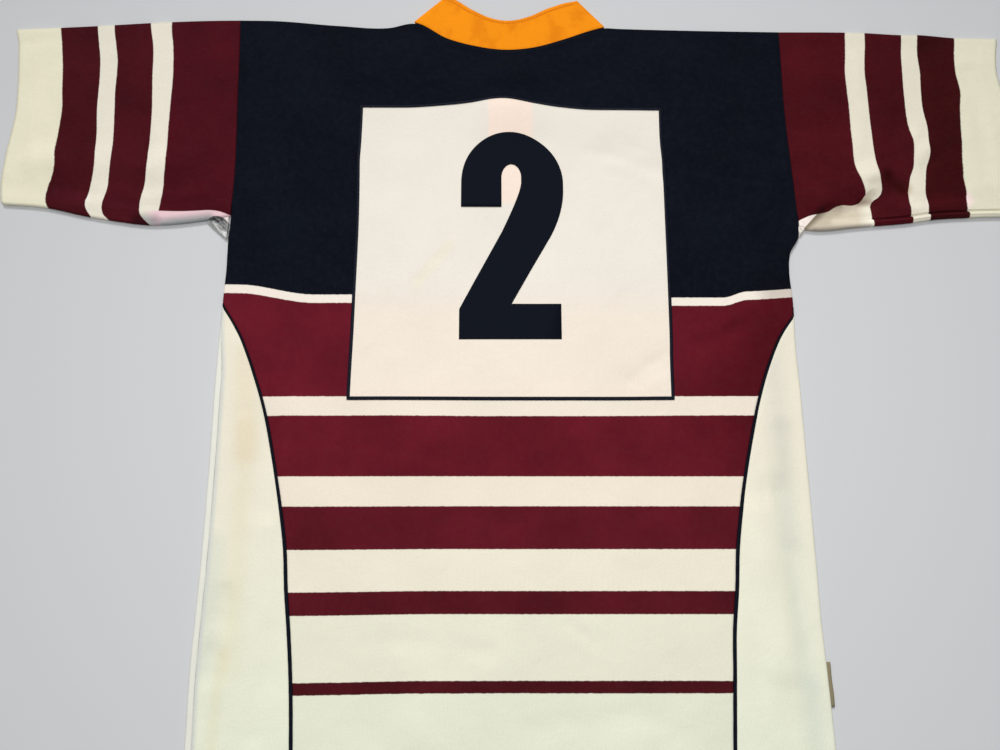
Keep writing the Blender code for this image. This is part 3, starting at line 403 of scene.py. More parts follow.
def add(tree, kind, settings=None, inputs=None):
    """A shader node with its settings, and with numbers or links on its inputs."""
    node = tree.nodes.new(kind)
    for key, value in (settings or {}).items():
        setattr(node, key, value)
    for key, value in (inputs or {}).items():
        if isinstance(value, bpy.types.NodeSocket):
            tree.links.new(value, node.inputs[key])
        else:
            node.inputs[key].default_value = value
    return node


def calc(tree, operation, *values, clamp=False):
    """Result of one sum on numbers or links."""
    settings = {"operation": operation, "use_clamp": clamp}
    return add(tree, "ShaderNodeMath", settings, dict(enumerate(values))).outputs[0]


def blend_colours(tree, share, first, second, way="MIX"):
    """First colour turned into the second by a share."""
    node = add(tree, "ShaderNodeMix", {"data_type": "RGBA", "blend_type": way})
    for socket, value in ((node.inputs[0], share), (node.inputs[6], first), (node.inputs[7], second)):
        if isinstance(value, bpy.types.NodeSocket):
            tree.links.new(value, socket)
        else:
            socket.default_value = value
    return node.outputs[2]


def field(tree, name, kind="Vector"):
    """What a piece's mesh holds under a name: a vector, or with "Fac" a number."""
    return add(tree, "ShaderNodeAttribute", {"attribute_name": name}).outputs[kind]


def split(tree, vector):
    """The three numbers of a vector."""
    return add(tree, "ShaderNodeSeparateXYZ", inputs={0: vector}).outputs


def noise(tree, where, scale, detail=2.0, roughness=0.5, distortion=0.0):
    """Soft random light and dark around 0.5, with finer and weaker layers added for the detail."""
    return add(tree, "ShaderNodeTexNoise", inputs={
        "Vector": where, "Scale": scale, "Detail": detail, "Roughness": roughness,
        "Distortion": distortion}).outputs[0]


def ramp(tree, value, start, end, first=0.0, last=1.0, smooth=False):
    """First to last as a value goes from start to end, straight, or smooth with level ends."""
    return add(tree, "ShaderNodeMapRange", {"interpolation_type": "SMOOTHSTEP" if smooth else "LINEAR"}, {
        "Value": value, "From Min": start, "From Max": end, "To Min": first, "To Max": last}).outputs[0]


def blank(name):
    """A new material, and its tree of nodes."""
    material = bpy.data.materials.new(name)
    material.use_nodes = True
    return material, material.node_tree


def coat(tree, colour, roughness, height, gloss, depth=1.0):
    """Gives a material's shader its colour, roughness, relief and faint gloss."""
    bump = add(tree, "ShaderNodeBump", inputs={"Height": height, "Distance": depth})
    shader = tree.nodes["Principled BSDF"]
    shader.inputs["Specular IOR Level"].default_value = gloss
    for title, socket in (("Base Color", colour), ("Roughness", roughness), ("Normal", bump.outputs[0])):
        tree.links.new(socket, shader.inputs[title])


def dye(red, green, blue):
    """Linear colour of a dye given in display values from 0 to 255."""
    level = np.array((red, green, blue)) / 255.0
    return (*np.where(level <= 0.04045, level / 12.92, ((level + 0.055) / 1.055) ** 2.4), 1.0)


def group(name, inputs, outputs):
    """Empty shader group with its sockets, and the two nodes that hold them."""
    tree = bpy.data.node_groups.new(name, "ShaderNodeTree")
    for way, sockets in (("INPUT", inputs), ("OUTPUT", outputs)):
        for title, kind in sockets:
            tree.interface.new_socket(title, in_out=way, socket_type=f"NodeSocket{kind}")
    return tree, tree.nodes.new("NodeGroupInput"), tree.nodes.new("NodeGroupOutput")


def make_knit():
    """Knitted jersey: rows of small V stitches in relief, mottled in tone and linty, over a faint crumple.

    Cut is the place on the cloth in metres, Wale the width of a stitch, Crumple the height of its soft
    unevenness and Tone how far the colour wanders.  Height comes out in metres.
    """
    tree, start, end = group(
        "knitted jersey",
        (("Cut", "Vector"), ("Colour", "Color"), ("Wale", "Float"), ("Crumple", "Float"), ("Tone", "Float")),
        (("Colour", "Color"), ("Height", "Float"), ("Roughness", "Float")))
    cut = start.outputs["Cut"]
    across, up, _ = split(tree, cut)
    wale = calc(tree, "DIVIDE", across, start.outputs["Wale"])
    off = calc(tree, "ABSOLUTE", calc(tree, "SUBTRACT", calc(tree, "FRACT", wale), 0.5))
    course = calc(tree, "DIVIDE", up, calc(tree, "MULTIPLY", start.outputs["Wale"], 0.78))
    loop = calc(tree, "SINE", calc(tree, "MULTIPLY", calc(tree, "ADD", course, off), 2 * math.pi))
    rib = calc(tree, "SUBTRACT", 1.0, calc(tree, "MULTIPLY", calc(tree, "MULTIPLY", off, off), 4.0))
    stitch = calc(tree, "MULTIPLY", rib, calc(tree, "MULTIPLY_ADD", loop, 0.18, 0.82))
    yarn = noise(tree, cut, 620.0)
    patchy = calc(tree, "SUBTRACT", noise(tree, cut, 16.0, 5.0, 0.62), 0.5)
    wander = calc(tree, "ADD", patchy, calc(tree, "MULTIPLY", calc(tree, "SUBTRACT", yarn, 0.5), 1.3))
    red = add(tree, "ShaderNodeSeparateColor", inputs={0: start.outputs["Colour"]}).outputs[0]
    dark = calc(tree, "MULTIPLY_ADD", red, -1.5, 1.0, clamp=True)      # dark dyes wander further in tone
    # The stitch term paints each stitch a little lighter on its crest than between stitches: painted light
    # and shade of its relief.
    shade = calc(tree, "ADD", calc(tree, "MULTIPLY_ADD", wander, start.outputs["Tone"], 0.96),
                 calc(tree, "MULTIPLY_ADD", stitch, 0.04, calc(tree, "MULTIPLY", patchy, dark)))
    toned = add(tree, "ShaderNodeVectorMath", {"operation": "SCALE"},
                {0: start.outputs["Colour"], "Scale": shade})
    lint = ramp(tree, noise(tree, cut, 210.0, 3.0, 0.7), 0.40, 0.75, 0.0, 0.003)
    linted = add(tree, "ShaderNodeVectorMath", {"operation": "ADD"}, {0: toned.outputs[0], 1: lint})
    relief = calc(tree, "MULTIPLY_ADD", stitch, 0.00012, calc(tree, "MULTIPLY", yarn, 0.00010))
    soft = calc(tree, "MULTIPLY", noise(tree, cut, 38.0, 4.0, 0.55, 0.4), start.outputs["Crumple"])
    height = calc(tree, "ADD", relief, soft)
    rough = calc(tree, "MULTIPLY_ADD", yarn, 0.16, 0.76)
    for title, value in (("Colour", linted.outputs[0]), ("Height", height), ("Roughness", rough)):
        tree.links.new(value, end.inputs[title])
    return tree


KNIT = make_knit()


def knit_material(name, colour, wale=0.0011, crumple=0.0007, tone=0.10):
    """Jersey in a colour, or in what a function of its tree and its place on the cloth gives."""
    material, tree = blank(name)
    cut = field(tree, "cut")
    dyed = colour(tree, cut) if callable(colour) else colour
    knit = add(tree, "ShaderNodeGroup", {"node_tree": KNIT},
               {"Cut": cut, "Colour": dyed, "Wale": wale, "Crumple": crumple, "Tone": tone}).outputs
    coat(tree, knit["Colour"], knit["Roughness"], knit["Height"], gloss=0.06)
    return material


NAVY = dye(11, 15, 24)
KNIT_BLUR = 0.00035        # half the width over which one hoop's stitches give way to the next


def bands_between(tree, level, colours):
    """Colours shared out evenly over 0 to 1, each blended into the next."""
    shown = colours[0]
    last = len(colours) - 1
    for k, following in enumerate(colours[1:]):
        shown = blend_colours(tree, ramp(tree, level, k / last, (k + 1) / last), shown, following)
    return shown


def bands(tree, value, ends, blur=KNIT_BLUR):
    """Colours along a value, each up to its end, with a narrow change between them."""
    shown = ends[0][0]
    for (_, end), (following, _) in zip(ends, ends[1:]):
        shown = blend_colours(tree, ramp(tree, value, end - blur, end + blur), shown, following)
    return shown


def near_line(tree, cut, start, end, reach):
    """1 on the straight line between two places on the cloth, falling to 0 at a reach from it."""
    length = math.dist(start, end)
    place = split(tree, cut)
    x, y = (calc(tree, "SUBTRACT", place[k], start[k]) for k in (0, 1))
    ux, uy = ((end[k] - start[k]) / length for k in (0, 1))
    along = calc(tree, "ADD", calc(tree, "MULTIPLY", x, ux), calc(tree, "MULTIPLY", y, uy))
    aside = calc(tree, "SUBTRACT", calc(tree, "MULTIPLY", y, ux), calc(tree, "MULTIPLY", x, uy))
    held = calc(tree, "MINIMUM", calc(tree, "MAXIMUM", along, 0.0), length)
    beyond = calc(tree, "SUBTRACT", along, held)
    away = calc(tree, "SQRT", calc(tree, "ADD", calc(tree, "MULTIPLY", aside, aside),
                                   calc(tree, "MULTIPLY", beyond, beyond)))
    return ramp(tree, away, 0.0, reach, 1.0, 0.0, smooth=True)


def stain_and_shade(tree, cut, shown, start, end, reach, share, tint, only=None):
    """A colour multiplied by a tint along a line on the cloth, all of it or only where a mask says: a stain,
    painted shade or a painted highlight, as each table of tints gives.
    """
    there = calc(tree, "MULTIPLY", near_line(tree, cut, start, end, reach), share)
    if only is not None:
        there = calc(tree, "MULTIPLY", there, only)
    return blend_colours(tree, there, shown, blend_colours(tree, 1.0, shown, (*tint, 1.0), "MULTIPLY"))


def unevenness(tree, cut):
    """How far a border strays from stitch to stitch, around 0."""
    return calc(tree, "SUBTRACT", noise(tree, cut, 260.0, 1.0), 0.5)


HOOP_SHADES = (             # painted shade on the hoops towards the right side: which ones, two ends, reach, share and the tint
    ("maroon", (0.262, 0.422), (0.238, 0.360), 0.110, 1.00, (0.68, 0.54, 0.56)),
    ("maroon", (0.222, 0.330), (0.205, 0.180), 0.040, 0.60, (0.80, 0.76, 0.80)),
    ("cream", (0.272, 0.452), (0.256, 0.451), 0.026, 1.00, (0.72, 0.70, 0.70)),
)


def hooped(tree, cut):
    """Hoops by the height up the cloth, with painted shade towards the right side; past a navy line on the
    curved seam, cream.
    """
    _, up, beyond = split(tree, cut)
    level = calc(tree, "ADD", up, calc(tree, "MULTIPLY", unevenness(tree, cut), 0.0008))
    hoops = bands(tree, level, [(dye(*colour), end) for colour, end in HOOPS])
    side = calc(tree, "GREATER_THAN", beyond, 0.0)
    line = calc(tree, "LESS_THAN", calc(tree, "ABSOLUTE", beyond), 0.0016)
    red = add(tree, "ShaderNodeSeparateColor", inputs={0: hoops}).outputs[0]
    those = {"maroon": calc(tree, "LESS_THAN", red, 0.4), "cream": calc(tree, "GREATER_THAN", red, 0.4)}
    for which, *mark in HOOP_SHADES:
        hoops = stain_and_shade(tree, cut, hoops, *mark, only=those[which])
    return blend_colours(tree, line, blend_colours(tree, side, hoops, dye(235, 234, 223)), NAVY)


hooped_jersey = knit_material("hooped jersey", hooped)

HEM_LEVELS = np.array((0.0, 0.0004, 0.0010, 0.0018))      # close rows round the hem's fold
levels = np.concatenate((HEM_LEVELS, np.linspace(0.0034, SHOULDER, 216)))
beside_strip = levels < STRIP_TIP + 0.0003
border = {}
for side in (-1, 1):
    seam = np.where(beside_strip, strip_middle(side, levels) - half_piping(levels), side_seam(side, levels))
    border[side] = np.where(levels > ARMPIT, body_edge(side, levels), seam)
q = columns(-border[-1], border[1], 142)
up = np.broadcast_to(levels[:, None], q.shape)
back = lay(q, up)
to_seam = np.minimum(q + border[-1][:, None], border[1][:, None] - q)
back[..., 2] -= groove(to_seam) * beside_strip[:, None] + hem_dip(up)

LAST_ROWS = np.linspace(0.0, 1.0, 9)[1:, None]        # they go round the shoulders, or flat to the neck seam
x = back[-1, :, 0]
past = -TURN + LAST_ROWS * TURN * (1 + SEAM_TURN)
angle = np.maximum(past, 0.0) / TURN
flat_y = top_edge(x) - TURN + np.minimum(past, 0.0)
round_z = np.where(past > 0, TURN * (1 + np.cos(angle)), back_height(x, flat_y))
neck_y = top_edge(x) - TOP_CLEAR * (1 - LAST_ROWS)
top_y = np.where(at_neck(x), neck_y, flat_y + TURN * np.sin(angle))
top_z = np.where(at_neck(x), back_height(x, neck_y), round_z)
back = np.concatenate((back, points_of(x, top_y, top_z)))
cut = np.concatenate((points_of(q, up, NOT_BEYOND), points_of(x, top_y, NOT_BEYOND)))
hooped_back = dress("hooped_back", back, hooped_jersey, thickness=WALL, cut=cut)
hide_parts("back_panel")

# ---------------------------------------------------------------- side panels and piping
# Plain cream jersey runs up each side of the back from the hem to a point on the side seam.  A strip of
# navy twill is caught between it and the hooped back, and stands a little proud of both.


SIDE_TINTS = (             # stains, and painted shade in dips: two ends, reach, share and what they do to the colour
    ((-0.252, 0.392), (-0.247, 0.300), 0.021, 0.72, (0.97, 0.91, 0.83)),
    ((-0.247, 0.320), (-0.250, 0.110), 0.019, 0.62, (0.97, 0.93, 0.86)),
    ((-0.257, 0.120), (-0.262, 0.030), 0.011, 0.65, (0.96, 0.93, 0.85)),
    ((-0.270, 0.215), (-0.272, 0.110), 0.019, 0.70, (0.87, 0.90, 0.93)),
    ((0.246, 0.400), (0.252, 0.330), 0.020, 0.80, (0.89, 0.90, 0.93)),
    ((0.252, 0.320), (0.254, 0.220), 0.018, 0.90, (0.87, 0.89, 0.92)),
    ((0.255, 0.210), (0.262, 0.100), 0.020, 0.60, (0.89, 0.92, 0.95)),
    ((0.264, 0.090), (0.267, 0.010), 0.018, 0.80, (0.89, 0.91, 0.94)),
)


def side_jersey(tree, cut):
    """Cream jersey, painted greener towards the hem where the light falls off, with stains, painted shade in
    its dips, and painted grey shade along the side seam.
    """
    low = ramp(tree, split(tree, cut)[1], 0.30, 0.02)
    shown = blend_colours(tree, low, dye(238, 232, 213), dye(236, 240, 218))
    for mark in SIDE_TINTS:
        shown = stain_and_shade(tree, cut, shown, *mark)
    # Painted shade along the rolled side seam.
    grey = ramp(tree, field(tree, "to_seam", "Fac"), 0.0004, 0.0058, 0.75, 0.0, smooth=True)
    return blend_colours(tree, grey, shown, dye(206, 210, 208))


def navy_twill(name, pitch, lean):
    """Matt navy cloth with fine slanting ribs: a sine of the place along and across it."""
    material, tree = blank(name)
    cut = field(tree, "cut")
    across, up, _ = split(tree, cut)
    rib = calc(tree, "SINE", calc(tree, "MULTIPLY", calc(tree, "MULTIPLY_ADD", across, lean, up),
                                  2 * math.pi / pitch))
    fluff, worn = noise(tree, cut, 900.0), noise(tree, cut, 22.0, 4.0)
    light = calc(tree, "MULTIPLY_ADD", fluff, 0.30, calc(tree, "MULTIPLY", worn, 0.35))
    colour = blend_colours(tree, light, dye(7, 11, 20), dye(20, 26, 39))
    height = calc(tree, "MULTIPLY_ADD", rib, 0.00006, calc(tree, "MULTIPLY", fluff, 0.00008))
    coat(tree, colour, calc(tree, "MULTIPLY_ADD", worn, 0.2, 0.68), height, gloss=0.08)
    return material


cream_side = knit_material("cream side jersey", side_jersey)
piping_twill = navy_twill("navy piping twill", pitch=0.0008, lean=0.8)
side_levels = np.concatenate((HEM_LEVELS, np.linspace(0.0044, CURVE_TIP, 130)))
piping_levels = np.linspace(0.0, STRIP_TIP, 160)
for side, word in ((-1, "left"), (1, "right")):
    outer = side_seam(side, side_levels)
    inner = np.minimum(strip_middle(side, side_levels) + half_piping(side_levels), outer - 0.0006)
    q = (columns(inner, outer, 14) * side)[:, ::side]
    up = np.broadcast_to(side_levels[:, None], q.shape)
    panel = lay(q, up)
    reach = np.minimum(np.abs(q) - inner[:, None], outer[:, None] - np.abs(q))
    panel[..., 2] -= groove(reach) * (np.abs(q) < body_edge(side, up) - TURN) + hem_dip(up)
    to_seam = outer[:, None] - np.abs(q) + 0.01 * (side > 0)       # at the right the seam is out of sight
    piece = dress(f"side_panel_{word}", panel, cream_side, thickness=WALL, cut=points_of(q, up),
                  to_seam=to_seam)
    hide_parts(f"back_side_{word}")

    share = np.linspace(-1.0, 1.0, 9)
    q = strip_middle(side, piping_levels)[:, None] + share * half_piping(piping_levels)[:, None]
    q = (q * side)[:, ::side]
    up = np.broadcast_to(piping_levels[:, None], q.shape)
    strip = lay(q, up)
    strip[..., 2] += 0.0006 * np.sqrt(1.0 - share ** 2) - 0.0003      # its round crown
    piece = dress(f"piping_strip_{word}", strip, piping_twill, thickness=0.0008, cut=points_of(q, up))
    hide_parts(f"piping_{word}")

# ---------------------------------------------------------------- front
# The front is the same hooped jersey, face down on the surface.  It is turned up round the sides and
# shoulders to its seams with the back, and at the left a strip of it shows on top.
NECK_DEPTH = 0.0895
ARMHOLE_LAP = 0.006        # its armhole's edge lies this far inside the back's
FRONT_EVEN = 0.5620        # from here up its rows are shared out evenly
FRONT_CLEAR = 0.0092       # its last level row lies this far below its top edge
FLAT_SHARE, EDGE_RISE = 0.4, math.radians(80)      # share of its last rows that lie flat, the others' turn


def front_neck(x):
    """Neckline of the front: half an ellipse below the shoulder seams."""
    level = np.interp(x, (-NECK_HALF, NECK_HALF), top_edge(np.array((-NECK_HALF, NECK_HALF))))
    return level - NECK_DEPTH * np.sqrt(np.maximum(1.0 - (x / NECK_HALF) ** 2, 0.0))


def front_row(side, up):
    """Length of the front's cloth from the start of its turn to its side seam."""
    back = side_seam(side, up) - (body_edge(side, up) - TURN)
    return np.where(up > ARMPIT, 0.0, math.pi * TURN - back)


levels = np.concatenate((np.array((0.0, 0.0010)), np.linspace(0.004, SHOULDER, 150)))
turning = levels <= ARMPIT
start = {side: body_edge(side, levels) - np.where(turning, TURN, ARMHOLE_LAP) for side in (-1, 1)}
extra = {side: np.where(turning, front_row(side, levels), ARMHOLE_LAP) for side in (-1, 1)}
around = np.linspace(0.0, 1.0, 15)
across = -start[-1][:, None] + (start[-1] + start[1])[:, None] * np.linspace(0.0, 1.0, 92)
q = np.concatenate((-(start[-1][:, None] + extra[-1][:, None] * around[:0:-1]), across,
                    start[1][:, None] + extra[1][:, None] * around[1:]), axis=1)
up = np.broadcast_to(levels[:, None], q.shape)
begin = np.where(q < 0, start[-1][:, None], start[1][:, None])
past = np.abs(q) - begin
angle = np.where(turning[:, None], np.clip(past / TURN, 0.0, math.pi), 0.0)
on_top = np.where(turning[:, None], np.maximum(past - math.pi * TURN, 0.0), 0.0)
beside = np.where(turning[:, None], TURN * np.sin(angle) - on_top, np.maximum(past, 0.0))
x = np.sign(q) * (np.minimum(np.abs(q), begin) + beside)
top = np.where(np.abs(x) < NECK_HALF, front_neck(x), top_edge(x)) - FRONT_CLEAR
share = np.maximum(up - FRONT_EVEN, 0.0) / (SHOULDER - FRONT_EVEN)
y = (1 - share) * row_line(np.minimum(up, FRONT_EVEN), x) + share * top
over = back_height(x, y) - groove(np.abs(extra[-1][:, None] - past))
front = points_of(x, y, np.where(on_top > 0, over, TURN * (1 - np.cos(angle))))
x, y = front[-1, :, 0], front[-1, :, 1]
flat = np.minimum(LAST_ROWS / FLAT_SHARE, 1.0)
angle = np.maximum(LAST_ROWS - FLAT_SHARE, 0.0) / (1 - FLAT_SHARE) * EDGE_RISE
round_y = y + flat * (top_edge(x) - TURN - y) + TURN * np.sin(angle)
top_y = np.where(at_neck(x), y + LAST_ROWS * (front_neck(x) - y), round_y)
top_z = np.where(at_neck(x), 0.0, TURN * (1 - np.cos(angle)))
front = np.concatenate((front, points_of(x, top_y, top_z)))
beyond = np.where(up < STRIP_TIP, np.abs(q) - half_curve(q, np.minimum(up, CURVE_TIP)), NOT_BEYOND)
cut = np.concatenate((points_of(q, up, beyond), points_of(x, top_y, NOT_BEYOND)))
front_cloth = dress("front_cloth", front, hooped_jersey, flip=True, thickness=WALL, cut=cut)
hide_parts("front_panel")

# ---------------------------------------------------------------- sleeves
# Each sleeve is one piece of maroon jersey with two cream stripes and a cream cuff band, seamed under the
# arm into a tube and sewn into its armhole.  The cuff is turned in and stitched twice round.
SLEEVE_ENDS = {            # from armhole to cuff edge, at each line: how far out, and the edges' heights
    "left": table(
        "out low high",
        (0.2767, 0.5338, 0.7507), (0.3000, 0.5293, 0.7505), (0.3455, 0.5243, 0.7489),
        (0.3655, 0.5243, 0.7478), (0.4010, 0.5296, 0.7454), (0.4185, 0.5327, 0.7443),
        (0.4570, 0.5422, 0.7423), (0.5040, 0.5465, 0.7402)),
    "right": table(
        "out low high",
        (0.2801, 0.5203, 0.7370), (0.3000, 0.5182, 0.7370), (0.3448, 0.5217, 0.7367),
        (0.3650, 0.5233, 0.7361), (0.4030, 0.5269, 0.7338), (0.4200, 0.5296, 0.7338),
        (0.4560, 0.5322, 0.7303), (0.5050, 0.5335, 0.7292)),
}
SLEEVE_LINES = {           # how far out each line lies by the height up the shirt: it wanders with the cloth
    "left": table(
        "up gusset first_in first_out second_in second_out cuff_in cuff_edge",
        (0.5245, 0.3000, 0.3470, 0.3560, 0.3950, 0.4130, 0.4540, 0.5030),
        (0.5290, 0.3000, 0.3473, 0.3610, 0.3968, 0.4142, 0.4550, 0.5034),
        (0.5345, 0.3000, 0.3478, 0.3655, 0.4022, 0.4158, 0.4559, 0.5040),
        (0.5393, 0.3000, 0.3478, 0.3669, 0.4042, 0.4192, 0.4567, 0.5044),
        (0.5456, 0.2998, 0.3467, 0.3668, 0.4046, 0.4213, 0.4600, 0.5049),
        (0.5541, 0.2996, 0.3449, 0.3655, 0.4032, 0.4198, 0.4616, 0.5064),
        (0.5626, 0.2995, 0.3444, 0.3638, 0.4010, 0.4178, 0.4604, 0.5077),
        (0.5733, 0.2995, 0.3440, 0.3624, 0.4005, 0.4160, 0.4568, 0.5078),
        (0.5872, 0.2995, 0.3436, 0.3620, 0.3999, 0.4148, 0.4540, 0.5070),
        (0.6035, 0.2995, 0.3446, 0.3630, 0.3999, 0.4160, 0.4560, 0.5056),
        (0.6254, 0.2995, 0.3451, 0.3629, 0.4003, 0.4170, 0.4551, 0.5030),
        (0.6475, 0.3000, 0.3452, 0.3632, 0.4016, 0.4190, 0.4539, 0.5016),
        (0.6698, 0.3005, 0.3451, 0.3648, 0.4034, 0.4195, 0.4566, 0.5027),
        (0.6901, 0.3010, 0.3455, 0.3662, 0.4036, 0.4200, 0.4581, 0.5043),
        (0.7083, 0.3012, 0.3465, 0.3668, 0.4044, 0.4215, 0.4608, 0.5062),
        (0.7221, 0.3015, 0.3480, 0.3683, 0.4069, 0.4242, 0.4630, 0.5082),
        (0.7383, 0.3020, 0.3509, 0.3718, 0.4102, 0.4273, 0.4658, 0.5120),
        (0.7507, 0.3030, 0.3515, 0.3738, 0.4112, 0.4288, 0.4668, 0.5125)),
    "right": table(
        "up gusset first_in first_out second_in second_out cuff_in cuff_edge",
        (0.5180, 0.3015, 0.3420, 0.3578, 0.3966, 0.4140, 0.4530, 0.5040),
        (0.5361, 0.3005, 0.3420, 0.3572, 0.3966, 0.4138, 0.4530, 0.5040),
        (0.5445, 0.3000, 0.3436, 0.3574, 0.3966, 0.4144, 0.4528, 0.5040),
        (0.5488, 0.3000, 0.3495, 0.3597, 0.3964, 0.4142, 0.4530, 0.5041),
        (0.5530, 0.3000, 0.3525, 0.3658, 0.3966, 0.4131, 0.4530, 0.5042),
        (0.5583, 0.3000, 0.3520, 0.3694, 0.3967, 0.4127, 0.4536, 0.5043),
        (0.5647, 0.3000, 0.3504, 0.3697, 0.3977, 0.4134, 0.4536, 0.5044),
        (0.5733, 0.3000, 0.3475, 0.3678, 0.3993, 0.4144, 0.4524, 0.5046),
        (0.5840, 0.3000, 0.3456, 0.3665, 0.4035, 0.4158, 0.4530, 0.5048),
        (0.5948, 0.3000, 0.3449, 0.3661, 0.4047, 0.4193, 0.4534, 0.5050),
        (0.6089, 0.3000, 0.3448, 0.3653, 0.4060, 0.4204, 0.4548, 0.5052),
        (0.6254, 0.3000, 0.3445, 0.3649, 0.4038, 0.4220, 0.4556, 0.5052),
        (0.6475, 0.3000, 0.3448, 0.3645, 0.4024, 0.4196, 0.4574, 0.5045),
        (0.6698, 0.3000, 0.3442, 0.3643, 0.4022, 0.4198, 0.4600, 0.5025),
        (0.6901, 0.3000, 0.3438, 0.3638, 0.4028, 0.4208, 0.4575, 0.4998),
        (0.7083, 0.3000, 0.3457, 0.3655, 0.4034, 0.4202, 0.4582, 0.5014),
        (0.7221, 0.3000, 0.3471, 0.3674, 0.4052, 0.4214, 0.4600, 0.5040),
        (0.7370, 0.3000, 0.3480, 0.3680, 0.4062, 0.4230, 0.4606, 0.5055)),
}
SLEEVE_CREASES = table(
    "x0 y0 x1 y1 bow height reach",
    (-0.330, 0.585, -0.470, 0.592, 0.000, 0.0030, 0.026),     # left sleeve, along its lower edge
    (-0.395, 0.700, -0.372, 0.600, 0.000, -0.0015, 0.022),
    (-0.445, 0.690, -0.440, 0.620, 0.000, 0.0022, 0.022),
    (-0.322, 0.730, -0.314, 0.610, 0.004, -0.0008, 0.014),
    (-0.352, 0.700, -0.346, 0.560, -0.004, 0.0007, 0.012),
    (-0.412, 0.720, -0.404, 0.560, 0.004, -0.0008, 0.012),
    (-0.474, 0.710, -0.466, 0.580, -0.004, -0.0008, 0.014),
    (-0.296, 0.560, -0.372, 0.552, 0.003, 0.0008, 0.010),
    (-0.300, 0.575, -0.360, 0.590, 0.003, -0.0007, 0.010),
    (-0.384, 0.548, -0.440, 0.560, -0.002, -0.0008, 0.010),
    (0.300, 0.545, 0.366, 0.576, 0.000, 0.0044, 0.022),       # right sleeve, fold up from the armpit
    (0.330, 0.534, 0.372, 0.556, 0.000, -0.0016, 0.012),
    (0.405, 0.612, 0.430, 0.588, 0.000, 0.0032, 0.024),
    (0.385, 0.560, 0.398, 0.640, 0.000, -0.0016, 0.020),
    (0.395, 0.537, 0.455, 0.540, 0.000, 0.0018, 0.012),
    (0.352, 0.566, 0.382, 0.574, -0.003, -0.0016, 0.009),
    (0.384, 0.574, 0.402, 0.548, 0.002, -0.0012, 0.008),
    (0.418, 0.596, 0.452, 0.566, 0.003, -0.0010, 0.010),
    (0.316, 0.720, 0.322, 0.600, 0.004, -0.0007, 0.013),
    (0.356, 0.710, 0.352, 0.610, 0.003, 0.0007, 0.011),
    (0.432, 0.700, 0.436, 0.610, -0.003, 0.0008, 0.012),
    (0.470, 0.690, 0.476, 0.580, 0.003, -0.0007, 0.013),
)
CREASES = {name: np.concatenate((CREASES[name], SLEEVE_CREASES[name])) for name in CREASES}
UNDERARM = {               # upper border of the cream stretch under the arm
    "left": table("out up", (0.2700, 0.5314), (0.2776, 0.5343), (0.2888, 0.5383), (0.2980, 0.5393),
                  (0.3074, 0.5388), (0.3250, 0.5381), (0.3481, 0.5386), (0.3800, 0.5400)),
    "right": table("out up", (0.2780, 0.5235), (0.2846, 0.5277), (0.2929, 0.5319), (0.3060, 0.5348),
                   (0.3146, 0.5372), (0.3200, 0.5408), (0.3270, 0.5434), (0.3411, 0.5446),
                   (0.3475, 0.5478), (0.3525, 0.5550), (0.3800, 0.5650)),
}
SLEEVE_DYES_AND_SHADE = {            # from the armhole out: maroon, stripe, maroon, stripe, maroon, cuff; the maroons are painted darker towards the cuff, most at the right, and the right sleeve's creams darker than the left's: painted shade of the light falling off
    "left": ((74, 12, 24), (240, 233, 217), (72, 14, 23), (240, 233, 217), (69, 14, 22), (243, 238, 212)),
    "right": ((74, 12, 21), (236, 229, 210), (69, 12, 20), (236, 229, 210), (58, 9, 13), (236, 232, 208)),
}
# At the right the cream under the arm is painted darker than the sleeve's cream: painted shade under its
# fold.
UNDERARM_DYES_AND_SHADE = {"left": (241, 207, 212), "right": (210, 198, 176)}
SLEEVE_TINTS = {           # lit rolls and shaded folds: two ends as out and up, reach, share and the tint
    "left": (((0.298, 0.5295), (0.341, 0.5248), 0.0110, 1.0, (0.36, 0.53, 0.51)),
             ((0.352, 0.5276), (0.368, 0.5288), 0.0115, 1.0, (0.42, 0.46, 0.50)),
             ((0.376, 0.5440), (0.392, 0.5470), 0.0120, 0.8, (1.05, 1.05, 1.30)),
             ((0.428, 0.5520), (0.450, 0.5560), 0.0140, 1.0, (1.22, 1.25, 1.40))),
    "right": (((0.376, 0.5770), (0.392, 0.5620), 0.0120, 1.0, (0.62, 0.48, 0.36)),
              ((0.423, 0.5480), (0.450, 0.5500), 0.0140, 1.0, (1.32, 1.02, 1.34)),
              ((0.290, 0.5212), (0.307, 0.5370), 0.0070, 1.0, (0.42, 0.40, 0.36)),
              ((0.309, 0.5400), (0.326, 0.5435), 0.0060, 0.8, (0.70, 0.66, 0.64)),
              ((0.320, 0.5270), (0.356, 0.5290), 0.0060, 1.0, (1.24, 1.26, 1.30)),
              ((0.335, 0.5380), (0.350, 0.5400), 0.0100, 0.7, (1.10, 1.12, 1.14)),
              ((0.346, 0.5476), (0.358, 0.5478), 0.0060, 1.0, (0.60, 0.53, 0.52)),
              ((0.300, 0.5185), (0.354, 0.5222), 0.0048, 1.0, (0.62, 0.62, 0.66))),
}
RIGHT_FOLD = (0.2889, 0.5191), (0.3049, 0.5365)        # where cloth of the gusset folds over, out and up
FOLD_BLEND = 0.012
ARCH_MIDDLE, ARCH_FOOT = -0.2908, 0.5210       # seam of the left gusset: an arch over this place
ARCH_SPREADS, ARCH_RISE = (0.0112, 0.0138), 0.0128
UNDERARM_SEAM = 0.0064     # at the right the underarm seam lies this far above the lower edge
SEAM_SLIDE = 0.0017        # and the roll below it has slid this far outwards


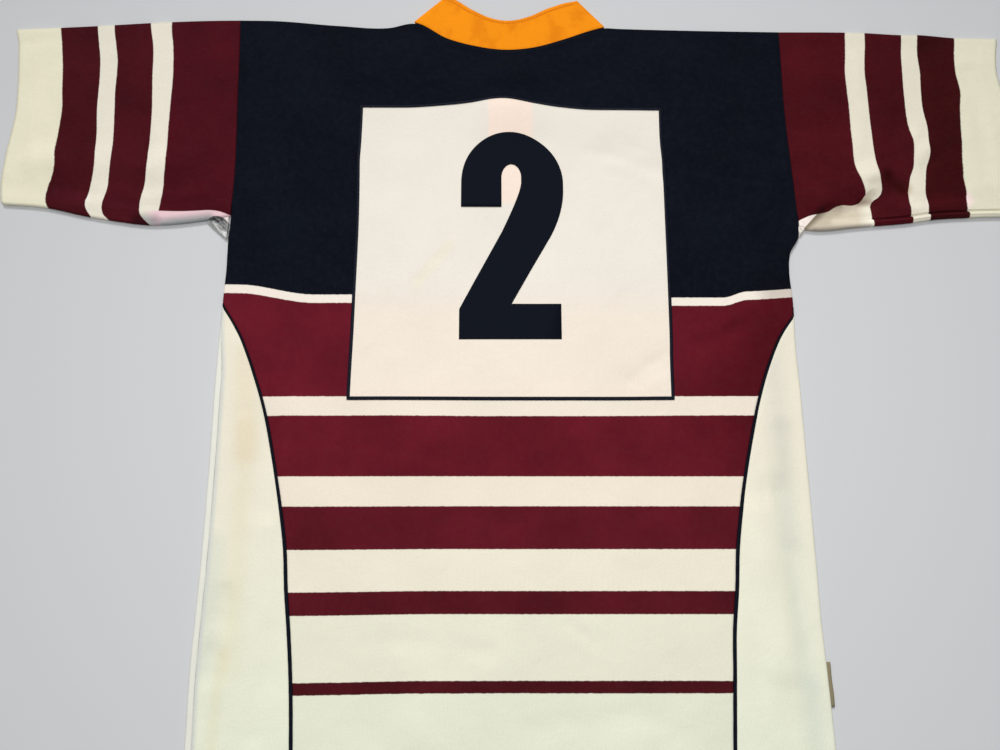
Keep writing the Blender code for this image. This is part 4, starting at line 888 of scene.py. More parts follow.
def sleeve_points(side, word, bands_out, ring):
    """Points of a sleeve's outer face: across between its lines, and round from its lower to its upper edge.

    bands_out runs from the armhole, 0, to the cuff, 7.  ring runs once round: a quarter along the surface,
    then round the upper edge, back on top, and round the lower edge.
    """
    ends, rows = SLEEVE_ENDS[word], SLEEVE_LINES[word]
    out = np.interp(bands_out, np.arange(8), ends["out"])
    low, high = (curve(ends["out"], ends[key], out)[:, None] for key in ("low", "high"))
    foot, head = low + TURN, high - TURN
    part, turn = np.divmod(ring * 4, 1.0)
    part = part[None, :]
    angle = turn * math.pi
    y = np.select((part == 0, part == 1, part == 2),
                  (foot + turn * (head - foot), head + TURN * np.sin(angle), head - turn * (head - foot)),
                  foot - TURN * np.sin(angle))
    lines = np.stack([body_edge(side, y)] + [curve(rows["up"], rows[key], y) for key in list(rows)[1:]])
    inner = np.minimum(bands_out.astype(int), len(lines) - 2)
    share = (bands_out - inner)[:, None]
    each = np.arange(len(bands_out))
    x = (1 - share) * lines[inner, each] + share * lines[inner + 1, each]
    to_turn = np.maximum(np.minimum(y - foot, head - y), 0.0)
    to_armhole = np.maximum(x - body_edge(side, y), 0.0)
    over = top_layer(side * x, y, to_turn, to_armhole)
    if word == "right":
        above_seam = y - low - UNDERARM_SEAM
        sewn = ease((x - 0.348) / 0.022)
        over = over - 0.0017 * sewn * (1 - ease(np.abs(above_seam) / 0.0013))
        over = over + 0.0007 * sewn * (1 - ease(np.abs(above_seam + 0.0036) / 0.0030))
        x = x + SEAM_SLIDE * ease((x - 0.345) / 0.012) * ease(0.5 - above_seam / 0.0008)
    z = np.select((part == 0, part == 1, part == 2), (0.0, TURN * (1 - np.cos(angle)), over),
                  TURN * (1 + np.cos(angle)))
    return points_of(side * x, y, z)


def in_gusset(word, x, y):
    """Over 0 inside a gusset's seam with the sleeve: at the left an arch whose two sides spread unevenly, at
    the right all that lies on the armpit's side of the slanting fold."""
    if word == "right":
        (x0, y0), (x1, y1) = RIGHT_FOLD
        aside = ((y - y0) * (x1 - x0) - (x - x0) * (y1 - y0)) / math.dist(*RIGHT_FOLD)
        return aside / FOLD_BLEND
    spread = np.where(x < ARCH_MIDDLE, *ARCH_SPREADS)
    return 1.0 - np.hypot((x - ARCH_MIDDLE) / spread, np.maximum(y - ARCH_FOOT, 0.0) / ARCH_RISE)


# Greys from painted shade to painted light, for the light and dark of its crumples.
CRUMPLE_LIGHT_AND_SHADE = (66, 66, 69), (132, 132, 133), (170, 170, 170), (222, 222, 220)
CRUMPLE_LIT_AND_SHADED_LINES = (          # painted highlights and painted shade along its sharpest creases: two ends as out and up, reach, share and grey
    ((0.2925, 0.5262), (0.2850, 0.5160), 0.0016, 0.70, (222, 222, 220)),
    ((0.3010, 0.5284), (0.2789, 0.5086), 0.0020, 0.70, (222, 221, 218)),
    ((0.2942, 0.5306), (0.2880, 0.5275), 0.0018, 1.00, (44, 44, 48)),
)


def crumpled(tree, where):
    """Thin silver-grey cloth with painted light and shade in long creases that run with its fold, painted
    lighter towards the tip, with painted highlights and painted shade along creases across it.  where is how
    far out and how far up each place lies."""
    out, up, _ = split(tree, where)
    along = calc(tree, "ADD", out, up)
    aside = calc(tree, "SUBTRACT", out, up)
    run = add(tree, "ShaderNodeCombineXYZ", inputs={
        0: calc(tree, "MULTIPLY", along, 46.0), 1: calc(tree, "MULTIPLY", aside, 190.0)}).outputs[0]
    long, short = noise(tree, run, 1.0, distortion=0.7), noise(tree, where, 420.0)
    fold = calc(tree, "MULTIPLY_ADD", short, 0.25, calc(tree, "MULTIPLY", long, 0.9))
    tip = ramp(tree, along, 0.812, 0.790, -0.06, 0.18)
    shown = bands_between(tree, ramp(tree, calc(tree, "ADD", fold, tip), 0.38, 0.84),
                          [dye(*grey) for grey in CRUMPLE_LIGHT_AND_SHADE])
    for start, end, reach, share, grey in CRUMPLE_LIT_AND_SHADED_LINES:
        there = calc(tree, "MULTIPLY", near_line(tree, where, start, end, reach), share)
        shown = blend_colours(tree, there, shown, dye(*grey))
    return shown


def past_gusset_seam(tree):
    """0 outside a gusset's seam, quickly rising to 1 inside."""
    return ramp(tree, field(tree, "gusset", "Fac"), 0.0, 0.05)


def striped(word):
    """Colours of a sleeve: stripes by its bands, and cream under the arm up to the first stripe."""
    def colours(tree, cut):
        """The sleeve's colours at each place of its cut."""
        _, out, up = split(tree, cut)
        band = calc(tree, "MULTIPLY_ADD", unevenness(tree, cut), 0.02, field(tree, "band", "Fac"))
        ends = [(dye(*colour), 2.0 + k) for k, colour in enumerate(SLEEVE_DYES_AND_SHADE[word])]
        stripes = bands(tree, band, ends, 0.012)
        inside = calc(tree, "MULTIPLY", ramp(tree, field(tree, "under", "Fac"), -KNIT_BLUR, KNIT_BLUR),
                      ramp(tree, band, 2.1, 2.9, 1.0, 0.0))
        shown = blend_colours(tree, inside, stripes, dye(*UNDERARM_DYES_AND_SHADE[word]))
        where = add(tree, "ShaderNodeCombineXYZ", inputs={0: out, 1: up}).outputs[0]
        for mark in SLEEVE_TINTS[word]:
            shown = stain_and_shade(tree, where, shown, *mark)
        gusset = calc(tree, "MULTIPLY", past_gusset_seam(tree), inside)
        # At the right the cloth past the fold is painted whiter than the gusset's own cream: a painted
        # highlight on the twisted fold.
        cloth = dye(255, 242, 234) if word == "right" else crumpled(tree, where)
        return blend_colours(tree, gusset, shown, cloth)
    return colours


BAND_COLUMNS = (14, 18, 7, 10, 7, 12, 16)      # from the armhole out
MEASURED = 40              # the ring of points on which the way round a sleeve is measured
station = [np.linspace(k, k + 1, n, endpoint=False) for k, n in enumerate(BAND_COLUMNS)]
station = np.concatenate(station + [[float(len(BAND_COLUMNS))]])
turns = np.linspace(0.0, 1.0, 8, endpoint=False)
gaps = np.concatenate((np.full(18, 1.0), 1.15 ** np.arange(1, 14), np.full(54, 6.3)))   # close by the seam
down = 1 - (0.0025 + 0.9975 * np.r_[0.0, np.cumsum(gaps)] / gaps.sum())[::-1]
ring = np.concatenate((np.linspace(0.0, 1.0, 26, endpoint=False), 1 + turns, 2 + down, 3 + turns)) / 4
for side, word in ((-1, "left"), (1, "right")):
    points = sleeve_points(side, word, station, ring)
    near_cuff = ease((station - 6.97) / 0.03)[:, None]
    inwards = np.where(points[..., 2] > TURN, 1.0, -1.0) * (points[..., 2] > 0.0001)
    points[..., 2] -= near_cuff * inwards * 0.0004
    x, y = points[..., 0], points[..., 1]
    steps = np.linalg.norm(np.diff(points[MEASURED], axis=0, append=points[MEASURED, :1]), axis=1)
    jersey = knit_material(f"striped sleeve jersey {word}", striped(word))
    sleeve = dress(f"sleeve_cloth_{word}", points, jersey, ring=True, flip=side < 0, thickness=WALL,
                   cut=points_of(np.cumsum(steps), np.abs(x), y), gusset=in_gusset(word, x, y),
                   band=np.broadcast_to(station[:, None], x.shape),
                   under=curve(UNDERARM[word]["out"], UNDERARM[word]["up"], np.abs(x)) - y)
    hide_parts(f"sleeve_{word}")

# ---------------------------------------------------------------- gussets
# A small gusset is let in under each arm: thin silver-grey cloth at the left, where it has crumpled on its
# fold, and cream jersey at the right, which has twisted once as the shirt was laid down.
GUSSETS = {                # corner under the sleeve, and the two ends of the fold
    "left": ((-0.2782, 0.5326), (-0.3010, 0.5284), (-0.2789, 0.5086)),
    "right": ((0.2848, 0.5235), (0.2915, 0.5203), (0.2835, 0.5106)),
}
CRUMPLE = 0.0006           # height of the waves in their upper layer


def gusset_points(corner, start, end):
    """Points of a gusset folded along the edge from start to end, with its cut edges at the corner: each row
    reaches as far in as the triangle does there, and two crossing waves crumple its upper layer.

    Rows run along the fold.  Columns run from the corner over the top, round the fold and back below.
    """
    corner, start, end = (np.array(point) for point in (corner, start, end))
    run = end - start
    along = run / np.hypot(*run)
    away = np.array((along[1], -along[0]))
    away *= np.sign(away.dot(start - corner))
    foot = (corner - start).dot(along) / np.hypot(*run)
    tallest = (start - corner).dot(away)
    share = np.linspace(0.06, 0.94, 40)[:, None]
    fold = start + share * run
    reach = tallest * np.minimum(share / foot, (1 - share) / (1 - foot))
    over = np.linspace(1.0, 0.0, 22)
    turn = np.linspace(0.1, 0.9, 7) * math.pi
    radius = np.minimum(TURN, 0.5 * reach + 0.0004)
    flat = np.maximum(reach - radius, 0.0002)
    out = np.concatenate((-radius - flat * over, radius * np.sin(turn) - radius,
                          -radius - flat * over[::-3]), axis=1)
    wave = np.cos(2 * math.pi * (3.1 * share + 0.5 * over))
    wave = wave + 0.6 * np.cos(2 * math.pi * (5.3 * share - 0.8 * over))
    top = 2 * radius + CRUMPLE * wave * np.sin(math.pi * over) ** 0.7 - 0.0006 * over
    z = np.concatenate((top, radius * (1 + np.cos(turn)), np.zeros((len(share), len(over[::-3])))), axis=1)
    return points_of(fold[:, :1] + out * away[0], fold[:, 1:] + out * away[1], z)


def gusset_cloth(tree, cut):
    """Crumpled silver cloth, up to the white seam allowance that turns down along the body, greying."""
    low = ramp(tree, split(tree, cut)[1], 0.529, 0.519, 0.0, 0.9)
    rim = blend_colours(tree, low, dye(236, 226, 222), dye(196, 196, 194))
    return blend_colours(tree, past_gusset_seam(tree), rim, crumpled(tree, cut))


gusset_jersey = {
    "left": knit_material("crumpled silver cloth", gusset_cloth, wale=0.0009, crumple=0.0016, tone=0.10),
    "right": knit_material("cream gusset jersey", dye(236, 228, 218), crumple=0.0010, tone=0.08),
}
for word, corners in GUSSETS.items():
    points = gusset_points(*corners)
    gusset = in_gusset(word, points[..., 0], np.maximum(points[..., 1], ARCH_FOOT + 0.0005))
    piece = dress(f"gusset_cloth_{word}", points, gusset_jersey[word], flip=word == "right", thickness=0.0006,
                  cut=np.abs(points) * (1, 1, 0), gusset=gusset)
    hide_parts(f"gusset_{word}")

# ---------------------------------------------------------------- collar
# The collar is a stand band of close-knit orange cloth, folded double and sewn all round the neck.  Its
# back half lies on top of the shirt, its front half under the back, and a row of stitching holds its fold.
COLLAR_TOP = table(
    "across up",
    (-0.0660, 0.7775), (-0.0572, 0.7748), (-0.0397, 0.7630), (-0.0225, 0.7535), (-0.0003, 0.7493),
    (0.0194, 0.7538), (0.0442, 0.7660), (0.0600, 0.7712), (0.0690, 0.7722),
)
COLLAR_FOLDS = {-1: ((-0.0992, 0.7496), (-0.0672, 0.7785)), 1: ((0.0985, 0.7435), (0.0705, 0.7742))}
COLLAR_WIDTH, COLLAR_TAPER = 0.032, 0.675
FOLD_ROW = 0.900           # share of the width at which its fold is stitched
BACK_POINTS, FOLD_POINTS, FRONT_POINTS = 71, 11, 31


def collar_points(width):
    """Rings of the band for shares of its width: back half, left fold, hidden front half, right fold.

    Each half goes straight from the neck seam's curve to that of its upper edge, and each fold is a half
    circle between them."""
    width = width[:, None]
    x = np.linspace(0.0935, -0.0935, BACK_POINTS)
    back_x = x * (1 - width * (1 - COLLAR_TAPER))
    back_y = (1 - width) * (top_edge(x) + 0.0002)
    back_y = back_y + width * curve(COLLAR_TOP["across"], COLLAR_TOP["up"], x * COLLAR_TAPER)
    rolled = 1.0 - ease((NECK_HALF - np.abs(x)) / 0.030)
    lift = 0.0022 * width * ease((NECK_HALF - np.abs(x)) / 0.065)
    back_z = PLY + (2 * TURN - PLY) * rolled + lift + 0.0004 * np.sin(math.pi * width)
    x = np.linspace(-0.087, 0.087, FRONT_POINTS)
    front_x = (1 - width) * x * 0.992 + width * x * COLLAR_TAPER
    front_top = np.interp(x, (-NECK_HALF, NECK_HALF), (0.777, 0.773))
    front_top = front_top - 0.087 * np.sqrt(1 - (x / NECK_HALF) ** 2)
    front_y = (1 - width) * (front_neck(x) + 0.0008) + width * front_top
    parts = {"back": points_of(back_x, back_y, back_z), "front": points_of(front_x, front_y)}
    angle = np.linspace(0.0, math.pi, FOLD_POINTS)
    for side, (low, high) in COLLAR_FOLDS.items():
        low, high = np.array(low), np.array(high)
        along = (high - low) / np.hypot(*(high - low))
        away = np.array((side * along[1], -side * along[0]))
        centre = (1 - width) * low + width * high - TURN * away
        plan = centre[:, None, :] + TURN * np.sin(angle)[None, :, None] * away
        parts[side] = points_of(plan[..., 0], plan[..., 1], TURN * (1 + np.cos(angle)))
    return np.concatenate((parts["back"], parts[-1], parts["front"], parts[1][:, ::-1]), axis=1)


def orange_knit(tree, cut):
    """Orange, a little patchy, with painted shade along the seam and along the row of stitching near the
    upper edge.
    """
    up = split(tree, cut)[1]
    low = ramp(tree, up, 0.0, 0.003, 0.15, 0.0, smooth=True)
    away = calc(tree, "ABSOLUTE", calc(tree, "SUBTRACT", up, FOLD_ROW * COLLAR_WIDTH))
    line = ramp(tree, away, 0.0003, 0.0024, 0.36, 0.0, smooth=True)
    patch = ramp(tree, noise(tree, cut, 42.0), 0.46, 0.66, 0.0, 0.34, smooth=True)
    shade_and_patches = calc(tree, "MAXIMUM", calc(tree, "MAXIMUM", low, line), patch)
    return blend_colours(tree, shade_and_patches, dye(255, 152, 19), dye(214, 106, 6))


width = np.concatenate(((0.0, 0.012, 0.03, 0.055), np.linspace(0.09, 0.93, 30), (0.96, 0.985, 1.0)))
start = BACK_POINTS + FOLD_POINTS + FRONT_POINTS // 2      # the ring starts in the hidden front half
points = np.roll(collar_points(width), -start, axis=1)
steps = np.hypot(*np.diff(points[0, :, :2], axis=0, append=points[0, :1, :2]).T)
share = width[:, None]
cut = points_of(np.cumsum(steps), share * COLLAR_WIDTH)
on_top = ease((points[..., 2] - TURN) / TURN)
dip = groove(share * COLLAR_WIDTH, 0.0004) + 0.00022 * (1 - ease(np.abs(share - FOLD_ROW) / 0.05))
points[..., 2] -= on_top * (dip + 0.0007 * (1 - ease((1 - share) / 0.05)))     # its upper edge is rounded off
orange = knit_material("orange close knit", orange_knit, wale=0.0013, crumple=0.0005, tone=0.16)
collar = dress("collar_cloth", points, orange, ring=True, flip=True, thickness=WALL, cut=cut)
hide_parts("collar_band")

# ---------------------------------------------------------------- number panel
# A square of cream jersey is laid on the back and sewn down along its edges with a close navy zigzag.
# The cloth is thin, so that the hoops under it show through a little.
EDGING, ZIGZAG = 0.0027, 0.00075           # width of the navy zigzag, and from one stitch to the next


def panel_edge(side, level):
    """Place across the shirt of the panel's left or right edge."""
    word = "left" if side < 0 else "right"
    return side * curve(PANEL_EDGE["up"], PANEL_EDGE[word], level)


def panel_top(x, y):
    """Height of the panel's outer face: the back's, and its own thickness with a little air."""
    return back_height(x, y) + 0.0011


def panel_jersey(tree, cut):
    """Cream, with what lies under it showing faintly, a stain, and a warm tint over the neck's backing."""
    across, up, _ = split(tree, cut)
    shown = bands(tree, up, ((dye(241, 229, 214), 0.45), (dye(237, 230, 219), 0.8)), 0.02)
    backed = 0.80
    for value, begin, full in ((across, -0.0240, -0.0195), (across, 0.0260, 0.0190), (up, 0.5400, 0.5520)):
        backed = calc(tree, "MULTIPLY", ramp(tree, value, begin, full, smooth=True), backed)
    shown = blend_colours(tree, backed, shown, dye(252, 229, 212))
    stain = calc(tree, "MULTIPLY", near_line(tree, cut, (-0.060, 0.502), (-0.090, 0.466), 0.010), 0.28)
    shown = blend_colours(tree, stain, shown, dye(238, 226, 190))
    low = ramp(tree, up, 0.352, 0.372, 0.25, 0.0, smooth=True)
    return blend_colours(tree, low, shown, dye(245, 228, 210))


near = np.array((0.0, 0.0004, 0.0012))
panel_levels = np.concatenate((PANEL_LOW + near, np.linspace(PANEL_LOW + 0.003, PANEL_HIGH - 0.003, 98),
                               PANEL_HIGH - near[::-1]))
x = columns(panel_edge(-1, panel_levels), panel_edge(1, panel_levels), 88)
up = np.broadcast_to(panel_levels[:, None], x.shape)
y = row_line(up, x)
to_edge = np.minimum(np.minimum(x - x[:, :1], x[:, -1:] - x), np.minimum(up - PANEL_LOW, PANEL_HIGH - up))
rounded, drawn_down = 1 - ease(to_edge / 0.0015), 1 - ease(np.abs(to_edge - 0.0030) / 0.001)
z = panel_top(x, y) - 0.0006 * rounded - 0.0003 * drawn_down
number_jersey = knit_material("number panel jersey", panel_jersey, crumple=0.0008)
number_cloth = dress("number_cloth", points_of(x, y, z), number_jersey, thickness=0.0008,
                     cut=points_of(x, up))
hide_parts("number_panel")


def zigzag_thread():
    """Shiny navy thread in close zigzag: fine ribs across the line, each leaning the other way."""
    material, tree = blank("navy zigzag thread")
    cut = field(tree, "cut")
    along, aside, _ = split(tree, cut)
    slant = calc(tree, "MULTIPLY_ADD", aside, 0.22, along)
    rib = calc(tree, "ABSOLUTE", calc(tree, "SINE", calc(tree, "MULTIPLY", slant, math.pi / ZIGZAG)))
    fine = noise(tree, cut, 500.0)
    # The ribs are painted lighter on their crests than between them: painted light and shade of their relief.
    colour = blend_colours(tree, calc(tree, "MULTIPLY", rib, fine), dye(12, 14, 22), dye(34, 40, 58))
    height = calc(tree, "MULTIPLY_ADD", rib, 0.00022, calc(tree, "MULTIPLY", fine, 0.00008))
    coat(tree, colour, calc(tree, "MULTIPLY_ADD", fine, 0.2, 0.45), height, gloss=0.15)
    return material


def round_the_panel(count):
    """Places once round the panel's edge, so many on each side, with the way outwards from each."""
    t = np.linspace(0.0, 1.0, count, endpoint=False)
    rising = PANEL_LOW + t * (PANEL_HIGH - PANEL_LOW)
    falling = PANEL_HIGH - t * (PANEL_HIGH - PANEL_LOW)
    low_left, low_right, high_left, high_right = (
        panel_edge(side, level) for level in (PANEL_LOW, PANEL_HIGH) for side in (-1, 1))
    x = (low_left + t * (low_right - low_left), panel_edge(1, rising),
         high_right + t * (high_left - high_right), panel_edge(-1, falling))
    level = (np.full(count, PANEL_LOW), rising, np.full(count, PANEL_HIGH), falling)
    outward = np.repeat(np.array(((0.0, -1.0), (1.0, 0.0), (0.0, 1.0), (-1.0, 0.0))), count, axis=0)
    outward[::count] = ((-1.0, -1.0), (1.0, -1.0), (1.0, 1.0), (-1.0, 1.0))
    return np.column_stack((np.concatenate(x), np.concatenate(level))), outward


places, outward = round_the_panel(120)
share = np.linspace(-1.0, 1.0, 9)[:, None]
plan = places[None] + outward[None] * share[..., None] * EDGING / 2
x, up = plan[..., 0], plan[..., 1]
held = np.clip(up, PANEL_LOW, PANEL_HIGH)
y = row_line(held, x) + (up - held)
crown = 0.0004 * np.sqrt(np.maximum(1 - share ** 2, 0))
z = panel_top(x, y) + crown - 0.0010 * ease((share + 0.2) / 1.2) - 0.0001       # it bends down over the edge
along = np.cumsum(np.r_[0.0, np.hypot(*np.diff(places, axis=0).T)])
edging = dress("number_edging", points_of(x, y, z), zigzag_thread(), ring=True, thickness=0.0005,
               cut=points_of(along, share * EDGING / 2))

# ---------------------------------------------------------------- numeral
# A plain condensed 2 is cut from navy twill and pressed on to the panel.  It follows the panel's folds.
NUMERAL = {
    "left": -0.0486, "right": 0.0527, "stem_right": -0.0085, "stem_low": 0.5418, "stem_high": 0.5546,
    "bowl": (0.0004, 0.5675), "bowl_rise": 0.0534,
    "counter": (0.0012, 0.5729), "counter_radii": (0.0098, 0.0142),
    "outer_bend": ((0.0527, 0.5605), (0.0530, 0.5372), (0.0399, 0.5112)), "outer_slope": (0.0204, 0.4768),
    "inner_bend": ((0.0111, 0.5690), (0.0112, 0.5575), (-0.0082, 0.5158)), "inner_slope": (-0.0300, 0.4741),
    "base_low": 0.4070, "base_high": 0.4422, "heel": 0.4370, "base_left": -0.0493, "base_middle": -0.0100,
    "base_steps": (0.0013, 0.0170, 0.0330, 0.0490),
}


def bend(start, through, end, count):
    """Points of a smooth bend that starts and ends towards its middle point: a curve of the second degree."""
    t = np.linspace(0.0, 1.0, count)[:, None]
    return (1 - t) ** 2 * np.array(start) + 2 * t * (1 - t) * np.array(through) + t * t * np.array(end)


def arc(centre, radii, first, last, count, fullness=1.0):
    """Points along an ellipse, with angles in degrees from +X; a fullness under 1 swells it towards a box."""
    angle = np.radians(np.linspace(first, last, count))
    across, rise = np.cos(angle), np.sin(angle)
    return np.column_stack((centre[0] + radii[0] * np.sign(across) * np.abs(across) ** fullness,
                            centre[1] + radii[1] * np.sign(rise) * np.abs(rise) ** fullness))


def refine(line, times):
    """The same line with each straight step cut into so many."""
    t = np.linspace(0.0, 1.0, times, endpoint=False)[None, :, None]
    steps = line[:-1, None, :] * (1 - t) + line[1:, None, :] * t
    return np.concatenate((steps.reshape(-1, 2), line[-1:]))


n = NUMERAL
outer_line = np.concatenate((
    [(n["left"], n["stem_low"]), (n["left"], n["stem_high"])],
    arc(n["bowl"], (n["bowl"][0] - n["left"], n["bowl_rise"]), 180, 90, 22, 0.94),
    arc(n["bowl"], (n["right"] - n["bowl"][0], n["bowl_rise"]), 86, 0, 22, 1.04),
    bend(*n["outer_bend"], 14)[1:],
    [n["outer_slope"]],
    [(x, n["base_high"]) for x in n["base_steps"]],
))
inner_line = np.concatenate((
    [(n["stem_right"], n["stem_low"]), (n["stem_right"], n["stem_high"])],
    arc(n["counter"], n["counter_radii"], 180, 90, 22),
    arc(n["counter"], n["counter_radii"], 86, 0, 22),
    bend(*n["inner_bend"], 14)[1:],
    [n["inner_slope"], (n["base_left"], n["heel"])],
    [(x, n["base_low"]) for x in (n["base_left"], n["base_middle"], n["base_steps"][-1])],
))
outer_line, inner_line = refine(outer_line, 3), refine(inner_line, 3)
shares = np.concatenate(((0.0, 0.012), np.linspace(0.05, 0.95, 12), (0.988, 1.0)))[:, None, None]
plan = (1 - shares) * outer_line[None] + shares * inner_line[None]
x, y = plan[..., 0], plan[..., 1]
edge = 0.0004 * (1 - ease(np.minimum(shares, 1 - shares)[..., 0] / 0.02))      # rounded off
z = panel_top(x, y) + 0.0008 - edge
numeral_twill = navy_twill("navy numeral twill", pitch=0.0009, lean=1.0)
numeral = dress("numeral_cloth", points_of(x, y, z), numeral_twill, flip=True, thickness=0.0006,
                cut=points_of(x, y))
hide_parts("number_two")

# ---------------------------------------------------------------- label
# A short blank tape is folded in half and caught in the right side seam near the hem.
LABEL_LOW, LABEL_HIGH = 0.0752, 0.1127
LABEL_IN, LABEL_OUT = -0.0010, 0.0038      # from inside the seam to its fold
up = np.linspace(LABEL_LOW, LABEL_HIGH, 24)[:, None]
out = np.linspace(LABEL_IN, LABEL_OUT, 12)[None, :]
z = TURN + 0.0004 * np.sin(up * 240) * ease(out / 0.004) - 0.0008 * ease((out - 0.0030) / 0.0008)
points = points_of(body_edge(1, up) + out, up, z)
tape = knit_material("label tape", dye(146, 136, 110), wale=0.0006, crumple=0.0003, tone=0.08)
label = dress("label_tape", points, tape, thickness=0.0008, cut=points)
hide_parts("side_label")

# ---------------------------------------------------------------- stitching
# Twin rows of stitches hold the hem and the cuffs, single rows the armholes, the neck seam and the collar's
# fold.  The thread is the cloth's own colour, and each stitch stands a little proud of it.
STITCH, STITCH_GAP, THREAD, THREAD_SIDES = 0.0026, 0.0007, 0.00022, 6
STITCH_RINGS = table(      # share of a stitch's length, and radius and lift as shares of the thread's radius
    "share radius lift", (0.0, 0.35, -0.9), (0.18, 0.9, 0.3), (0.5, 1.0, 0.7), (0.82, 0.9, 0.3),
    (1.0, 0.35, -0.9))
HEM_ROWS = 0.0178, 0.0212
CUFF_ROWS, ARMHOLE_ROW = (6.55, 6.62), 0.22            # as places between a sleeve's lines


def thread_material(name, colour):
    """Twisted sewing thread: fine light and dark along each stitch, with a soft shine."""
    material, tree = blank(name)
    twist = noise(tree, add(tree, "ShaderNodeTexCoord").outputs["Object"], 2600.0)
    light = ramp(tree, twist, 0.0, 1.0, 0.72, 1.15)
    shade = add(tree, "ShaderNodeVectorMath", {"operation": "SCALE"}, {0: colour[:3], "Scale": light})
    coat(tree, shade.outputs[0], calc(tree, "MULTIPLY_ADD", twist, 0.3, 0.4), twist, gloss=0.2, depth=0.0002)
    return material


def stitching(name, rows, material):
    """Rows of stitches as one mesh: each stitch is a spindle of six sides along its path, lifted in the
    middle.  Its rings are circles round the path, smaller towards both needle holes."""
    starts, ways = [], []
    for path in rows:
        length = np.r_[0.0, np.cumsum(np.linalg.norm(np.diff(path, axis=0), axis=1))]
        first = np.arange(0.0, length[-1] - STITCH, STITCH + STITCH_GAP)
        down, out = (np.stack([np.interp(at, length, path[:, k]) for k in range(3)], -1)
                     for at in (first, first + STITCH))
        starts.append(down)
        ways.append(out - down)
    start, way = np.concatenate(starts), np.concatenate(ways)
    t, size, lift = (values[None, :, None, None] for values in STITCH_RINGS.values())
    upward = np.array((0.0, 0.0, 1.0))
    aside = np.cross(way, upward)
    aside /= np.linalg.norm(aside, axis=1)[:, None]
    angle = (np.arange(THREAD_SIDES) * 2 * math.pi / THREAD_SIDES)[None, None, :, None]
    ring = size * (np.cos(angle) * aside[:, None, None] + np.sin(angle) * upward)
    points = start[:, None, None] + t * way[:, None, None] + THREAD * (ring + lift * upward)
    rings = t.size
    first = np.arange(len(start)) * rings * THREAD_SIDES
    k, i, j = np.meshgrid(first, np.arange(rings - 1) * THREAD_SIDES, np.arange(THREAD_SIDES), indexing="ij")
    low, high, following = k + i, k + i + THREAD_SIDES, (j + 1) % THREAD_SIDES
    sides = np.stack((low + j, high + j, high + following, low + following), -1).reshape(-1, 4)
    last = (rings - 1) * THREAD_SIDES
    caps = np.array(((0, 1, 2, 3), (0, 3, 4, 5), (last + 3, last + 2, last + 1, last),
                     (last + 5, last + 4, last + 3, last)))
    caps = (first[None, :, None] + caps[:, None]).reshape(-1, 4)
    piece = mesh_piece(name, points.reshape(-1, 3), np.concatenate((sides, caps)), material)
    return piece


cream_thread = thread_material("cream thread", dye(250, 246, 226))
maroon_thread = thread_material("maroon thread", dye(86, 19, 31))
navy_thread = thread_material("navy thread", dye(24, 29, 42))
orange_thread = thread_material("orange thread", dye(240, 136, 20))
across = np.linspace(-0.2765, 0.2775, 400)
hem_rows = [lay(across, np.full(across.shape, level)) + (0, 0, 0.0001) for level in HEM_ROWS]
stitching("hem_stitching", hem_rows, cream_thread)
over = (2 + np.linspace(0.03, 0.97, 160)) / 4          # the upper layer's quarter of the way round
for side, word in ((-1, "left"), (1, "right")):
    cuff = sleeve_points(side, word, np.array(CUFF_ROWS), over) - (0, 0, 0.00005)
    stitching(f"cuff_stitching_{word}", cuff, cream_thread)
    armhole = sleeve_points(side, word, np.array((ARMHOLE_ROW,)), over) + (0, 0, 0.0001)
    stitching(f"armhole_stitching_{word}", armhole, maroon_thread)
fold_row = collar_points(np.array((FOLD_ROW,)))[0, :BACK_POINTS] + (0, 0, -0.0001)
stitching("collar_stitching", [fold_row], orange_thread)
across = np.linspace(-0.090, 0.090, 160)
below_neck = top_edge(across) - 0.0030
neck_row = points_of(across, below_neck, back_height(across, below_neck) + 0.0001)
stitching("neck_stitching", [neck_row], navy_thread)

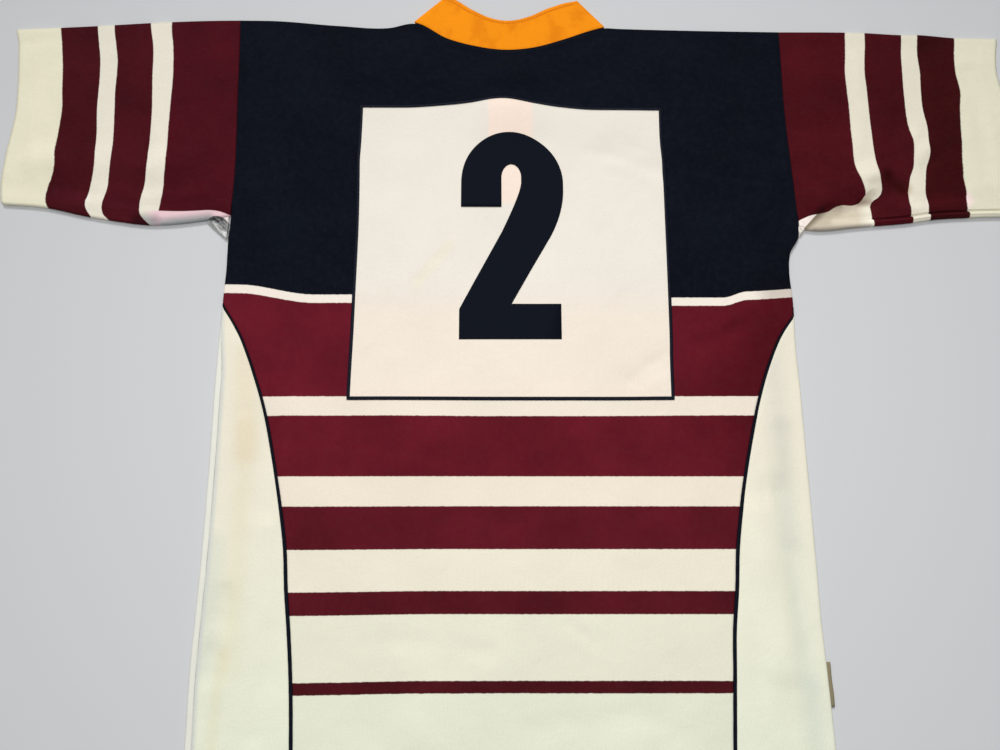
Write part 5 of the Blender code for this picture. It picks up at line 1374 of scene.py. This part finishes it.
# ---------------------------------------------------------------- surface, light and camera
# The shirt lies on a plain pale surface under a soft light overhead and a broad one from beyond the collar,
# with an even light all round.
floor_mesh = bpy.data.meshes.new("surface")
floor_mesh.from_pydata([(-3, -3, 0), (3, -3, 0), (3, 3, 0), (-3, 3, 0)], [], [(0, 1, 2, 3)])
floor = bpy.data.objects.new("surface", floor_mesh)
bpy.context.scene.collection.objects.link(floor)
paint, tree = blank("pale surface")
tree.nodes["Principled BSDF"].inputs["Base Color"].default_value = dye(206, 207, 209)
tree.nodes["Principled BSDF"].inputs["Roughness"].default_value = 0.9
floor_mesh.materials.append(paint)


def soft_light(name, place, target, size, power, colour):
    """Square area light at a place, facing a target."""
    lamp = bpy.data.lights.new(name, "AREA")
    lamp.shape, lamp.size, lamp.energy, lamp.color = "SQUARE", size, power, colour
    light = bpy.data.objects.new(name, lamp)
    away = np.array(place) - np.array(target)
    light.location = place
    light.rotation_euler = (math.acos(away[2] / np.linalg.norm(away)), 0.0,
                            math.atan2(away[0], -away[1]))
    bpy.context.scene.collection.objects.link(light)


soft_light("ceiling light", (0.0, 0.02, 0.90), (0.0, 0.02, 0.0), 0.60, 4.3, (1.0, 1.0, 1.0))
sun = bpy.data.lights.new("window light", "SUN")
sun.energy, sun.angle = 1.72, math.radians(14)
window = bpy.data.objects.new("window light", sun)
window.rotation_euler = (math.radians(-48), 0.0, math.radians(12))
bpy.context.scene.collection.objects.link(window)
world = bpy.data.worlds.new("room")
world.use_nodes = True
world.node_tree.nodes["Background"].inputs["Color"].default_value = (1.0, 1.0, 1.0, 1.0)
world.node_tree.nodes["Background"].inputs["Strength"].default_value = 0.25
bpy.context.scene.world = world
bpy.context.scene.view_settings.view_transform = "Standard"

lens = bpy.data.cameras.new("camera")
lens.sensor_width = 36.0
lens.lens = 30.17
camera = bpy.data.objects.new("camera", lens)
camera.location = (SHIRT[0] - 0.010, SHIRT[1] + 0.210, 0.783)
camera.rotation_euler = (math.radians(11.8), 0.0, 0.0)
bpy.context.scene.collection.objects.link(camera)
bpy.context.scene.camera = camera
